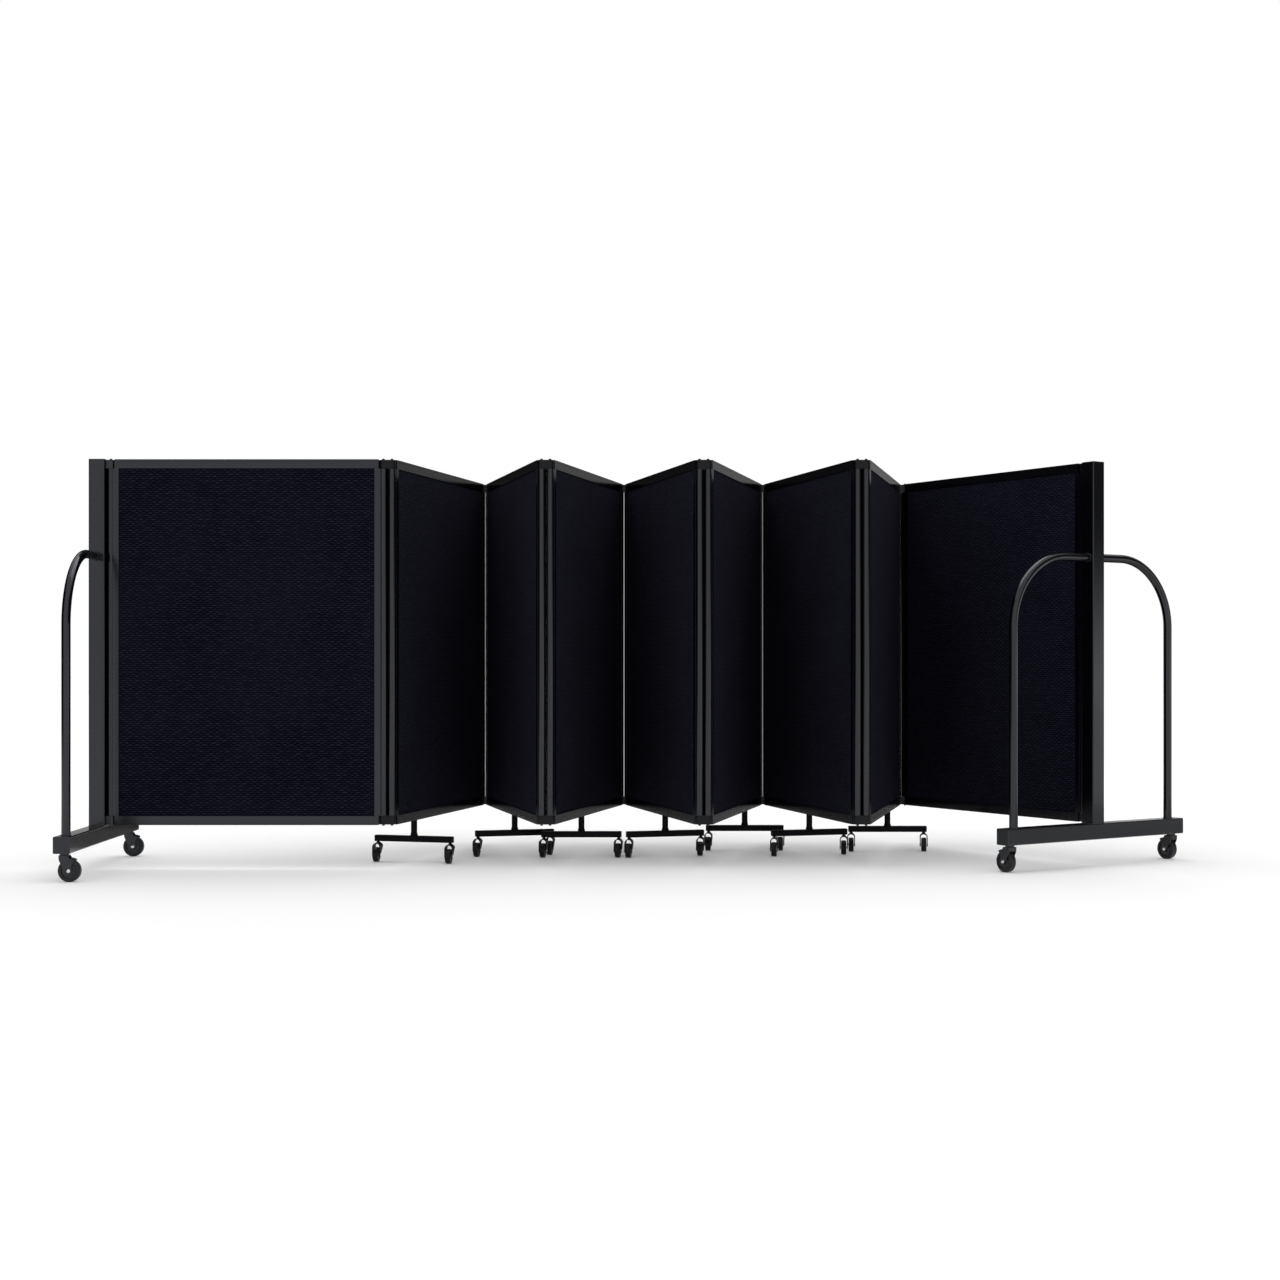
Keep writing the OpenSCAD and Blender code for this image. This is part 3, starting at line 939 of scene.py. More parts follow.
class ArchTube(GeometryTree):
    """A round tube that rises on one side, bends over and comes down on the other, across X."""

    name = "arch tube"
    inputs = {
        "Span": 0.66,
        "Foot height": 0.13,
        "Top height": 0.93,
        "Bend radius": 0.21,
        "Tube radius": 0.0127,
        "Bend steps": 28,
        "Sides": 40,
    }
    corners: ClassVar[int] = 4

    @classmethod
    def build(cls, graph: Graph, given: bpy.types.NodeOutputs) -> Socket:
        """Bends a path of four points and runs a round section along it.

        Args:
            graph: the tree to fill.
            given: the tree's inputs.

        Returns:
            The tube's geometry.
        """
        path = graph.add("GeometryNodeMeshLine", {"Count": cls.corners}, mode="OFFSET").outputs[0]
        middle = (cls.corners - 1) / 2
        number = graph.add("GeometryNodeInputIndex").outputs[0]
        from_middle = graph.math("ABSOLUTE", graph.math("SUBTRACT", number, middle))
        inner = graph.math("LESS_THAN", from_middle, 1.0)
        right = graph.math("GREATER_THAN", number, middle)
        sign = graph.math("SUBTRACT", graph.math("MULTIPLY", right, 2.0), 1.0)
        side = graph.math("MULTIPLY", sign, graph.math("MULTIPLY", given["Span"], 0.5))
        climb = graph.math("SUBTRACT", given["Top height"], given["Foot height"])
        height = graph.math("ADD", given["Foot height"], graph.math("MULTIPLY", inner, climb))
        spot = graph.add("ShaderNodeCombineXYZ", {"X": 0.0, "Y": side, "Z": height}).outputs[0]
        placed = graph.add("GeometryNodeSetPosition", {"Geometry": path, "Position": spot})
        curve = graph.add("GeometryNodeMeshToCurve", {"Mesh": placed.outputs[0]}).outputs[0]
        bent = cls.bent(graph, curve, given["Bend radius"], given["Bend steps"])
        circle = {"Resolution": given["Sides"], "Radius": given["Tube radius"]}
        section = graph.add("GeometryNodeCurvePrimitiveCircle", circle).outputs[0]
        swept = {"Curve": bent, "Profile Curve": section, "Fill Caps": True}
        return graph.add("GeometryNodeCurveToMesh", swept).outputs[0]


class WeldBead(GeometryTree):
    """Overlapping drops of weld along a rectangle with round corners, which may be a circle."""

    name = "weld bead"
    inputs = {
        "Width": 0.03,
        "Depth": 0.03,
        "Corner radius": 0.015,
        "Drop radius": 0.0018,
        "Drops": 40,
        "Seed": 7,
    }
    drop_sizes: ClassVar[tuple[float, float]] = (0.85, 1.15)

    @classmethod
    def build(cls, graph: Graph, given: bpy.types.NodeOutputs) -> Socket:
        """Puts a small ball on each of the path's points, each a little larger or smaller.

        Args:
            graph: the tree to fill.
            given: the tree's inputs.

        Returns:
            The bead's geometry.
        """
        size = {"Width": given["Width"], "Height": given["Depth"]}
        path = graph.add("GeometryNodeCurvePrimitiveQuadrilateral", size).outputs[0]
        bent = cls.bent(graph, path, given["Corner radius"], BEND_STEPS)
        row = {"Curve": bent, "Count": given["Drops"]}
        spots = graph.add("GeometryNodeCurveToPoints", row).outputs[0]
        ball = {"Radius": given["Drop radius"], "Subdivisions": 2}
        drop = graph.add("GeometryNodeMeshIcoSphere", ball).outputs[0]
        least, most = cls.drop_sizes
        sizes = {RANDOM_LEAST: least, RANDOM_MOST: most, "Seed": given["Seed"]}
        chance = graph.add("FunctionNodeRandomValue", sizes, data_type="FLOAT")
        scale = chance.outputs[RANDOM_RESULT]
        drops = {"Points": spots, "Instance": drop, "Scale": scale}
        return graph.add("GeometryNodeInstanceOnPoints", drops).outputs[0]


# --------------------------------------------------------------------------------------------
# Where things are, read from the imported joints
# --------------------------------------------------------------------------------------------


class Layout:
    """The places of the hinges, stems and axles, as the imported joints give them."""

    def __init__(self, joints: list[dict]) -> None:
        """Reads the joints."""
        self.joints = {joint["name"]: joint for joint in joints}

    def at(self, joint: str) -> Vector:
        """Returns the place of a joint's axis on the floor plane."""
        x, y, _ = self.joints[joint]["pos_m"]
        return Vector((x, y, 0.0))

    def axle(self, joint: str) -> tuple[Vector, Vector]:
        """Returns a wheel's middle and its axle's direction."""
        found = self.joints[joint]
        return Vector(found["pos_m"]), Vector(found["axis"])

    def pin(self, panel: int, link: int) -> Vector:
        """Returns the place of the pin between a panel and a hinge link.

        Args:
            panel: the panel's number.
            link: the link's number.

        Returns:
            The pin's place on the floor plane.
        """
        wanted = {f"panel_{panel}", f"link_{link}"}
        for joint in self.joints.values():
            if {joint["parent"], joint["child"]} == wanted:
                return self.at(joint["name"])
        raise LookupError(f"no pin joins panel {panel} and link {link}")

    def panel_ends(self, number: int) -> tuple[Vector, Vector]:
        """Returns the two hinge axes of a panel on the floor plane, in the row's order.

        Args:
            number: the panel's number.

        Returns:
            The first and the last axis.
        """
        is_first, is_last = number == PANELS[0], number == PANELS[-1]
        first = self.at("end_frame_left_swing") if is_first else self.pin(number, number - 1)
        last = self.at("end_frame_right_swing") if is_last else self.pin(number, number)
        return first, last

    def panel_axes(self, number: int) -> Matrix:
        """Returns a panel's axes: X from its first hinge axis to its last, Z up."""
        first, last = self.panel_ends(number)
        return turned(first, last - first)

    def link_axes(self, number: int) -> Matrix:
        """Returns a link's axes: its middle, with X from its first pin to its second."""
        first, second = self.pin(number, number), self.pin(number + 1, number)
        return turned((first + second) / 2, second - first)

    def foot_axes(self, number: int) -> Matrix:
        """Returns a T foot's axes: its stem, with X along its bar from wheel a to wheel b."""
        first, second = (self.at(f"foot_wheel_{number}{mark}_spin") for mark in "ab")
        return turned(self.at(f"foot_{number}_swivel"), second - first)

    def end_axes(self, side: str, to_post: float) -> Matrix:
        """Returns an end frame's axes: its post, with X towards the panels.

        Args:
            side: left or right.
            to_post: the distance from the end hinge's pin to the post's middle.

        Returns:
            The axes.
        """
        is_left = side == "left"
        first, last = self.panel_ends(PANELS[0] if is_left else PANELS[-1])
        inward = (last - first if is_left else first - last).normalized()
        return turned(self.at(f"end_frame_{side}_swing") - inward * to_post, inward)


# --------------------------------------------------------------------------------------------
# Sub-assemblies
# --------------------------------------------------------------------------------------------


@dataclass
class Panel:
    """One panel: two stiles with a round nose, two rails and a cloth-covered board."""

    layout: Layout
    span: float = 0.8128
    low: float = 0.1295
    high: float = 1.2192
    thickness: float = 0.023
    stile_reach: float = 0.0257
    rail_height: float = 0.027
    nose_radius: float = 0.0115
    nose_steps: int = 26
    groove: float = 0.007
    notch_reach: float = 0.0132
    notch_height: float = 0.028
    joint_gap: float = 0.0001
    line_offset: float = 0.007
    line_width: float = 0.0008
    line_depth: float = 0.0006
    edge_bevel: float = 0.0005
    board_thickness: float = 0.019
    board_overlap: float = 0.0006
    board_columns: int = 40
    board_rows: int = 52
    edge_roll: float = 0.0012
    edge_width: float = 0.007
    edge_steps: tuple[float, ...] = (0.0, 0.12, 0.3, 0.55, 0.8, 1.0)
    ripple: float = 0.00012
    ripple_along: float = 21.0
    ripple_up: float = 17.0
    ripple_sway: float = 1.3
    sway_up: float = 6.0
    ripple_start: float = 0.7

    def stile(self, shape: Shape, place: Matrix) -> None:
        """Adds one stile, with its nose cut away above and below for the hinge caps.

        Args:
            shape: the frame's shape.
            place: the stile's axes, with the hinge axis on Z and +X into the panel.
        """
        half, groove, cut = self.thickness / 2, self.groove, self.notch_reach
        start = math.degrees(math.acos(groove / self.nose_radius))
        nose = arc((0, 0), self.nose_radius, start, 360 - start, self.nose_steps)
        back = [(groove, -half), (cut, -half), (self.stile_reach, -half)]
        outline = nose + mirrored(back, 1, -1)
        first = len(nose) + 1
        whole = list(range(len(outline)))
        body = whole[first : first + 4]
        nose_cap = whole[: first + 1] + whole[first + 3 :]
        levels = (
            (self.low, body),
            (self.low + self.notch_height, whole),
            (self.high - self.notch_height, whole),
            (self.high, body),
        )
        part = bmesh.new()
        rings = [{i: part.verts.new((*outline[i], z)) for i in kept} for z, kept in levels]
        for lower, upper, kept in zip(rings, rings[1:], (body, whole, body)):
            join_rings(part, [lower[i] for i in kept], [upper[i] for i in kept])
        caps = ((0, body[::-1]), (3, body), (1, nose_cap[::-1]), (2, nose_cap))
        for level, kept in caps:
            part.faces.new([rings[level][i] for i in kept])
        shape.absorb(part, place, Look.FRAME_GLOSS, self.edge_bevel)

    def rail(self, shape: Shape, place: Matrix) -> None:
        """Adds one rail, with a fine trim line along each face.

        Args:
            shape: the frame's shape.
            place: the rail's axes, with its outer edge at Z = 0 and its body below.
        """
        half = self.thickness / 2
        inner = half - self.line_depth
        lower = -self.line_offset
        upper = lower + self.line_width
        line = [(half, lower), (inner, lower), (inner, upper), (half, upper)]
        outline = mirrored([(half, -self.rail_height), *line, (half, 0)], -1, 1)
        inset = self.stile_reach + self.joint_gap
        ends = (inset, self.span - inset)
        shape.prism(outline, ends, place @ lying("X"), Look.FRAME_GLOSS, self.edge_bevel / 2)

    def frame(self, number: int) -> bpy.types.Object:
        """Builds the stiles and rails of one panel.

        Args:
            number: the panel's number.

        Returns:
            The finished frame.
        """
        axes = self.layout.panel_axes(number)
        shape = Shape(f"frame_{number}")
        self.stile(shape, axes)
        self.stile(shape, axes @ moved(self.span) @ Matrix.Rotation(math.pi, 4, "Z"))
        for edge, lower in ((self.high, False), (self.low, True)):
            self.rail(shape, axes @ moved(z=edge) @ upended(lower))
        return shape.finish(f"panel_{number}", "frame_black", f"panel_frame_{number}")

    def stations(self, low: float, high: float, count: int) -> list[float]:
        """Returns places across a board, close together at its edges.

        Args:
            low: the first place.
            high: the last place.
            count: the number of even steps between the edges' own steps.

        Returns:
            The places in order.
        """
        near = [self.edge_width * share for share in self.edge_steps]
        inner_low, inner_high = low + self.edge_width, high - self.edge_width
        middle = [inner_low + (inner_high - inner_low) * i / count for i in range(1, count)]
        return [low + n for n in near] + middle + [high - n for n in reversed(near)]

    def board_skin(self, x: float, z: float, low: Vector, high: Vector) -> float:
        """Returns the cloth's height over the board's middle plane.

        Args:
            x: the place along the panel.
            z: the height.
            low: the lowest corner of the board.
            high: the highest corner.

        Returns:
            Half the board's thickness there.
        """
        inset = min(x - low.x, high.x - x, z - low.z, high.z - z)
        share = min(1.0, inset / self.edge_width)
        roll = self.edge_roll * (1 - math.sqrt(max(0.0, 1 - (1 - share) ** 2)))
        along = x * self.ripple_along + self.ripple_sway * math.sin(z * self.sway_up)
        wave = math.sin(along) * math.sin(z * self.ripple_up + self.ripple_start)
        return self.board_thickness / 2 - roll + self.ripple * wave * share

    def board(self, number: int) -> bpy.types.Object:
        """Builds the cloth-covered board of one panel, with a UV map in metres.

        Args:
            number: the panel's number.

        Returns:
            The finished board.
        """
        side, rail = self.stile_reach - self.board_overlap, self.rail_height - self.board_overlap
        low = Vector((side, 0, self.low + rail))
        high = Vector((self.span - side, 0, self.high - rail))
        xs = self.stations(low.x, high.x, self.board_columns)
        zs = self.stations(low.z, high.z, self.board_rows)
        skin = [[self.board_skin(x, z, low, high) for x in xs] for z in zs]
        part = bmesh.new()
        faces = []
        for sign in (-1, 1):
            grid = [
                [part.verts.new((x, sign * depth, z)) for x, depth in zip(xs, row)]
                for z, row in zip(zs, skin)
            ]
            faces.append(grid)
            for row, above in zip(grid, grid[1:]):
                join_rings(part, row, above, closed=False)
        front, back = faces
        for i in (0, -1):
            join_rings(part, front[i], back[i], closed=False)
        for i in (0, -1):
            join_rings(part, [row[i] for row in front], [row[i] for row in back], closed=False)
        layer = part.loops.layers.uv.new("cloth")
        for face in part.faces:
            for loop in face.loops:
                loop[layer].uv = (loop.vert.co.x, loop.vert.co.z)
        shape = Shape(f"cloth_board_{number}")
        shape.mesh.loops.layers.uv.new("cloth")
        shape.absorb(part, self.layout.panel_axes(number), Look.CLOTH)
        return shape.finish(f"panel_{number}", "panel_cloth", f"fabric_board_{number}")

    def build(self) -> Iterator[bpy.types.Object]:
        """Builds every panel's frame and board.

        Returns:
            The finished pieces, one at a time.
        """
        for number in PANELS:
            yield self.frame(number)
            yield self.board(number)


@dataclass
class Hinge:
    """One double hinge: two caps, four pin heads and a seal."""

    layout: Layout
    pitch: float = 0.0254
    radius: float = 0.0127
    round_steps: int = 18
    cap_height: float = 0.026
    low: float = 0.1295
    high: float = 1.2192
    inset: float = 0.0015
    cap_bevel: float = 0.0009
    crown_inset: float = 0.0022
    crown_height: float = 0.002
    recess: float = 0.0006
    pin_radius: float = 0.004
    pin_head: float = 0.0045
    pin_tail: float = 0.0004
    pin_sides: int = 28
    dome_steps: int = 6
    washer_reach: float = 0.0016
    washer_edge: float = 0.0007
    washer_round: float = 0.0005
    washer_height: float = 0.001
    front_seal: tuple[float, float] = (0.0020, 0.012)
    rear_seal: tuple[float, float] = (0.0014, 0.006)
    end_seal: tuple[float, float] = (0.0009, 0.012)
    seal_ribs: int = 12
    rib_depth: float = 0.6
    seal_gap: float = 0.0001

    def stadium(self, radius: float) -> Outline:
        """Returns a cap's outline at a given radius round its two pins."""
        reach, steps = self.pitch / 2, self.round_steps
        return arc((reach, 0), radius, -90, 90, steps) + arc((-reach, 0), radius, 90, 270, steps)

    def edge_axes(self, axes: Matrix, lower: bool) -> Matrix:
        """Returns a cap's axes: its outer face at Z = 0, and Z away from the panels."""
        edge = self.low + self.inset if lower else self.high - self.inset
        return axes @ moved(z=edge) @ upended(lower)

    def pin(self, shape: Shape, place: Matrix) -> None:
        """Adds one pin with its domed head.

        Args:
            shape: the shape of the link or the post that holds it.
            place: the pin's axes, with its cap's outer face at Z = 0.
        """
        r, top, tail = self.pin_radius, self.pin_head, -self.cap_height - self.pin_tail
        turns = [i * math.pi / (2 * self.dome_steps) for i in range(self.dome_steps)]
        dome = [(r * math.cos(a), top - r / 2 + r / 2 * math.sin(a)) for a in turns]
        profile = [(0.0, tail), (r, tail), *dome, (0.0, top)]
        shape.lathe(profile, place, Look.FORK_SATIN, self.pin_sides)

    def cap(self, shape: Shape, place: Matrix) -> None:
        """Adds one cap with its two pins and their washers.

        Args:
            shape: the link's shape.
            place: the cap's axes.
        """
        whole, crown = self.stadium(self.radius), self.stadium(self.radius - self.crown_inset)
        below = (-self.cap_height, -self.recess)
        shape.prism(whole, below, place, Look.HINGE_CAP, self.cap_bevel)
        shape.prism(crown, (-self.crown_height, 0.0), place, Look.HINGE_CAP, self.cap_bevel / 3)
        rim, thick = self.pin_radius + self.washer_reach, self.washer_height
        top = [(rim, self.washer_edge), (rim - self.washer_round, thick), (0.0, thick)]
        for x in (-self.pitch / 2, self.pitch / 2):
            self.pin(shape, place @ moved(x))
            washer = [(0.0, 0.0), (rim, 0.0), *top]
            shape.lathe(washer, place @ moved(x), Look.FORK_SATIN, self.pin_sides)

    def seal(self, shape: Shape, axes: Matrix, size: tuple[float, float]) -> None:
        """Adds the ribbed strip that stands in the slit of a hinge.

        Args:
            shape: the shape of the link or the post that holds it.
            axes: the strip's axes, with its thickness on X.
            size: its thickness and its width.
        """
        half, deep, count = size[0] / 2, size[1] / 2, self.seal_ribs
        reaches = (half * self.rib_depth, half)
        ribs = [(reaches[i % 2], -deep + 2 * deep * i / count) for i in range(count + 1)]
        edge = self.inset + self.cap_height + self.seal_gap
        ends = (self.low + edge, self.high - edge)
        shape.prism(mirrored(ribs, -1, 1), ends, axes, Look.SEAL)

    def build(self) -> Iterator[bpy.types.Object]:
        """Builds every hinge link. The odd ones stand in front and have the wide seal.

        Returns:
            The finished links, one at a time.
        """
        for number in HINGES:
            axes = self.layout.link_axes(number)
            shape = Shape(f"hinge_{number}")
            for lower in (False, True):
                self.cap(shape, self.edge_axes(axes, lower))
            self.seal(shape, axes, self.front_seal if number % 2 else self.rear_seal)
            yield shape.finish(f"link_{number}", "hinge_black", f"hinge_link_{number}")


@dataclass(frozen=True)
class Weld:
    """A weld round a tube: the width, depth and corner radius of its path, and its drops."""

    width: float
    depth: float
    corner: float
    drop_radius: float
    drops: int

    def add(self, shape: Shape, place: Matrix, seed: int) -> None:
        """Adds the weld.

        Args:
            shape: the shape of the tube that it is on.
            place: the weld's axes.
            seed: the seed for its drops' sizes.
        """
        bead = WeldBead.run(
            Look.TUBE_GLOSS,
            Width=self.width,
            Depth=self.depth,
            Corner_radius=self.corner,
            Drop_radius=self.drop_radius,
            Drops=self.drops,
            Seed=seed,
        )
        shape.take(bead, place, Look.TUBE_GLOSS)


@dataclass
class EndFrame:
    """One end frame: a square post, a square base beam and a bent round tube through the post."""

    layout: Layout
    hinge: Hinge
    side: float = 0.048
    corner: float = 0.0035
    beam_low: float = 0.081
    beam_length: float = 0.750
    top: float = 1.2192
    gap: float = 0.0001
    plug_flange: float = 0.003
    plug_edge: float = 0.6
    plug_taper: float = 0.0024
    pin_offset: float = 0.0127
    arch_span: float = 0.660
    arch_height: float = 0.930
    arch_bend: float = 0.210
    arch_radius: float = 0.0127
    collar_weld: Weld = Weld(0.0272, 0.0272, 0.01359, 0.0011, 52)
    collar_seed: int = 7
    foot_weld: Weld = Weld(0.0266, 0.0266, 0.01329, 0.0017, 44)
    foot_seeds: tuple[int, int] = (4, 6)
    post_weld: Weld = Weld(0.045, 0.049, 0.003, 0.0016, 86)
    post_seed: int = 3

    @property
    def to_post(self) -> float:
        """The distance from the end hinge's pin to the post's middle."""
        return self.side / 2 + self.pin_offset

    @property
    def beam_top(self) -> float:
        """The height of the beam's upper face."""
        return self.beam_low + self.side

    def plug(self, shape: Shape, place: Matrix) -> None:
        """Adds the moulded plug that closes a tube, with a low crown.

        Args:
            shape: the frame's shape.
            place: the plug's axes, with the tube's end at Z = 0.
        """
        whole = rounded_square(self.side, self.corner)
        crown = rounded_square(self.side - self.plug_taper, self.corner)
        shoulder = self.plug_flange * self.plug_edge
        levels = ((whole, 0.0), (whole, shoulder), (crown, self.plug_flange))
        rings = [(outline, height + self.gap) for outline, height in levels]
        shape.stack(rings, place, Look.CAP_SATIN)

    def bracket(self, shape: Shape, place: Matrix) -> None:
        """Adds one hinge bracket between the post and the end panel's outer nose.

        Args:
            shape: the post's shape.
            place: the bracket's axes, with its pin on Z.
        """
        hinge, back = self.hinge, self.gap - self.pin_offset
        nose = arc((0, 0), hinge.radius, -90, 90, hinge.round_steps)
        outline = nose + [(back, hinge.radius), (back, -hinge.radius)]
        ends = (-hinge.cap_height, 0.0)
        shape.prism(outline, ends, place, Look.CAP_SATIN, hinge.cap_bevel)
        hinge.pin(shape, place)

    def post(self, side: str) -> bpy.types.Object:
        """Builds one post with its top plug and its two brackets.

        Args:
            side: left or right.

        Returns:
            The finished post.
        """
        axes = self.layout.end_axes(side, self.to_post)
        shape = Shape(f"post_{side}")
        ends = (self.beam_top + self.gap, self.top - self.plug_flange - self.gap)
        shape.prism(rounded_square(self.side, self.corner), ends, axes, Look.TUBE_GLOSS)
        self.plug(shape, axes @ moved(z=ends[1]))
        for lower in (False, True):
            self.bracket(shape, self.hinge.edge_axes(axes @ moved(self.to_post), lower))
        strip = self.hinge.end_seal
        self.hinge.seal(shape, axes @ moved(self.side / 2 + self.gap + strip[0] / 2), strip)
        for face in (-1, 1):
            spot = axes @ moved(y=face * self.side / 2, z=self.arch_height) @ lying("Y")
            self.collar_weld.add(shape, spot, self.collar_seed)
        return shape.finish(f"end_frame_{side}", "tube_black", f"end_post_{side}")

    def base(self, side: str) -> bpy.types.Object:
        """Builds one base: the beam with its plugs, the arch and the welds.

        Args:
            side: left or right.

        Returns:
            The finished base.
        """
        axes = self.layout.end_axes(side, self.to_post)
        shape = Shape(f"base_{side}")
        reach = self.beam_length / 2 - self.plug_flange - self.gap
        middle = axes @ moved(z=self.beam_low + self.side / 2)
        beam = rounded_square(self.side, self.corner)
        shape.prism(beam, (-reach, reach), middle @ lying("Y"), Look.TUBE_GLOSS)
        for face, seed in zip((-1, 1), self.foot_seeds):
            outward = Matrix.Rotation(-QUARTER_TURN * face, 4, "X")
            self.plug(shape, middle @ moved(y=face * reach) @ outward)
            foot = axes @ moved(y=face * self.arch_span / 2, z=self.beam_top)
            self.foot_weld.add(shape, foot, seed)
        tube = ArchTube.run(
            Look.TUBE_GLOSS,
            Span=self.arch_span,
            Foot_height=self.beam_top + self.gap,
            Top_height=self.arch_height,
            Bend_radius=self.arch_bend,
            Tube_radius=self.arch_radius,
        )
        shape.take(tube, axes, Look.TUBE_GLOSS)
        self.post_weld.add(shape, axes @ moved(z=self.beam_top), self.post_seed)
        return shape.finish(f"end_frame_{side}", "tube_black", f"base_frame_{side}")

    def build(self) -> Iterator[bpy.types.Object]:
        """Builds both end frames.

        Returns:
            The finished pieces, one at a time.
        """
        for side in SIDES:
            yield self.post(side)
            yield self.base(side)


@dataclass(frozen=True)
class Axle:
    """A bright axle: a shank between the cheeks and a riveted head outside each.

    Each point of the head's profile is a radius and a height over the cheek's outer face.
    """

    radius: float
    head: tuple[tuple[float, float], ...]
    shank_sides: int
    head_sides: int

    def add(self, shape: Shape, centre: Matrix, reach: float) -> None:
        """Adds the axle.

        Args:
            shape: the fork's shape.
            centre: the axle's middle, with its direction on Z.
            reach: the distance from the middle to a cheek's outer face.
        """
        shank = [(0.0, -reach), (self.radius, -reach), (self.radius, reach), (0.0, reach)]
        shape.lathe(shank, centre, Look.BRIGHT, self.shank_sides)
        head = [(radius, reach + height) for radius, height in self.head]
        for turn in (math.pi, 0.0):
            outward = centre @ Matrix.Rotation(turn, 4, "X")
            shape.lathe(head, outward, Look.BRIGHT, self.head_sides)


@dataclass(frozen=True)
class Wheel:
    """A caster wheel: a tread with round shoulders round a smooth disc with a raised hub."""

    diameter: float
    width: float
    bore: float
    rubber: Look = Look.TREAD
    centre: Look = Look.HUB
    core_share: float = 0.335
    shoulder_share: float = 0.2
    tread_side: float = 0.9
    tread_lip: float = 0.0007
    hub_share: float = 0.56
    hub_chamfer: float = 0.0008
    flat_side: float = 0.86
    groove: float = 0.0022
    groove_slope: float = 0.0006
    overlap: float = 0.0001
    shoulder_steps: int = 5
    sides: int = 56

    def tread(self) -> Outline:
        """Returns the section of the tread, with its round shoulders.

        Returns:
            Radius and height of each point, round the ring.
        """
        radius, half, core = self.diameter / 2, self.width / 2, self.diameter * self.core_share
        shoulder = self.width * self.shoulder_share
        lip = [(core, -half * self.tread_side), (core + self.tread_lip, -half)]
        count = self.shoulder_steps
        turns = [i * math.pi / (2 * count) for i in range(count + 1)]
        edge = [
            (radius - shoulder * (1 - math.sin(a)), shoulder * (1 - math.cos(a)) - half)
            for a in turns
        ]
        return mirrored(lip + edge, 1, -1)

    def disc(self) -> Outline:
        """Returns the section of the disc: hub, step, flat ring and the groove inside the tread.

        Returns:
            Radius and height of each point, round the ring.
        """
        half, core = self.width / 2, self.diameter * self.core_share
        hub = self.bore + (core - self.bore) * self.hub_share
        flat = -half * self.flat_side
        sunk = flat + self.groove
        side = [
            (self.bore, -half),
            (hub - self.hub_chamfer, -half),
            (hub, self.hub_chamfer - half),
            (hub + self.hub_chamfer / 2, flat),
            (core - self.groove, flat),
            (core - self.groove + self.groove_slope, sunk),
            (core + self.overlap, sunk),
        ]
        return mirrored(side, 1, -1)

    def build(self, name: str, body: str, axle: tuple[Vector, Vector]) -> bpy.types.Object:
        """Builds the wheel in place.

        Args:
            name: the piece's name.
            body: the CAD body that it rides on, which has its node's name too.
            axle: the middle of its axle and the axle's direction.

        Returns:
            The finished wheel.
        """
        middle, axis = axle
        turn = Vector((0, 0, 1)).rotation_difference(axis).to_matrix().to_4x4()
        place = Matrix.Translation(middle) @ turn
        shape = Shape(name)
        shape.lathe(self.tread(), place, self.rubber, self.sides)
        shape.lathe(self.disc(), place, self.centre, self.sides)
        return shape.finish(body, "wheel_black", body)


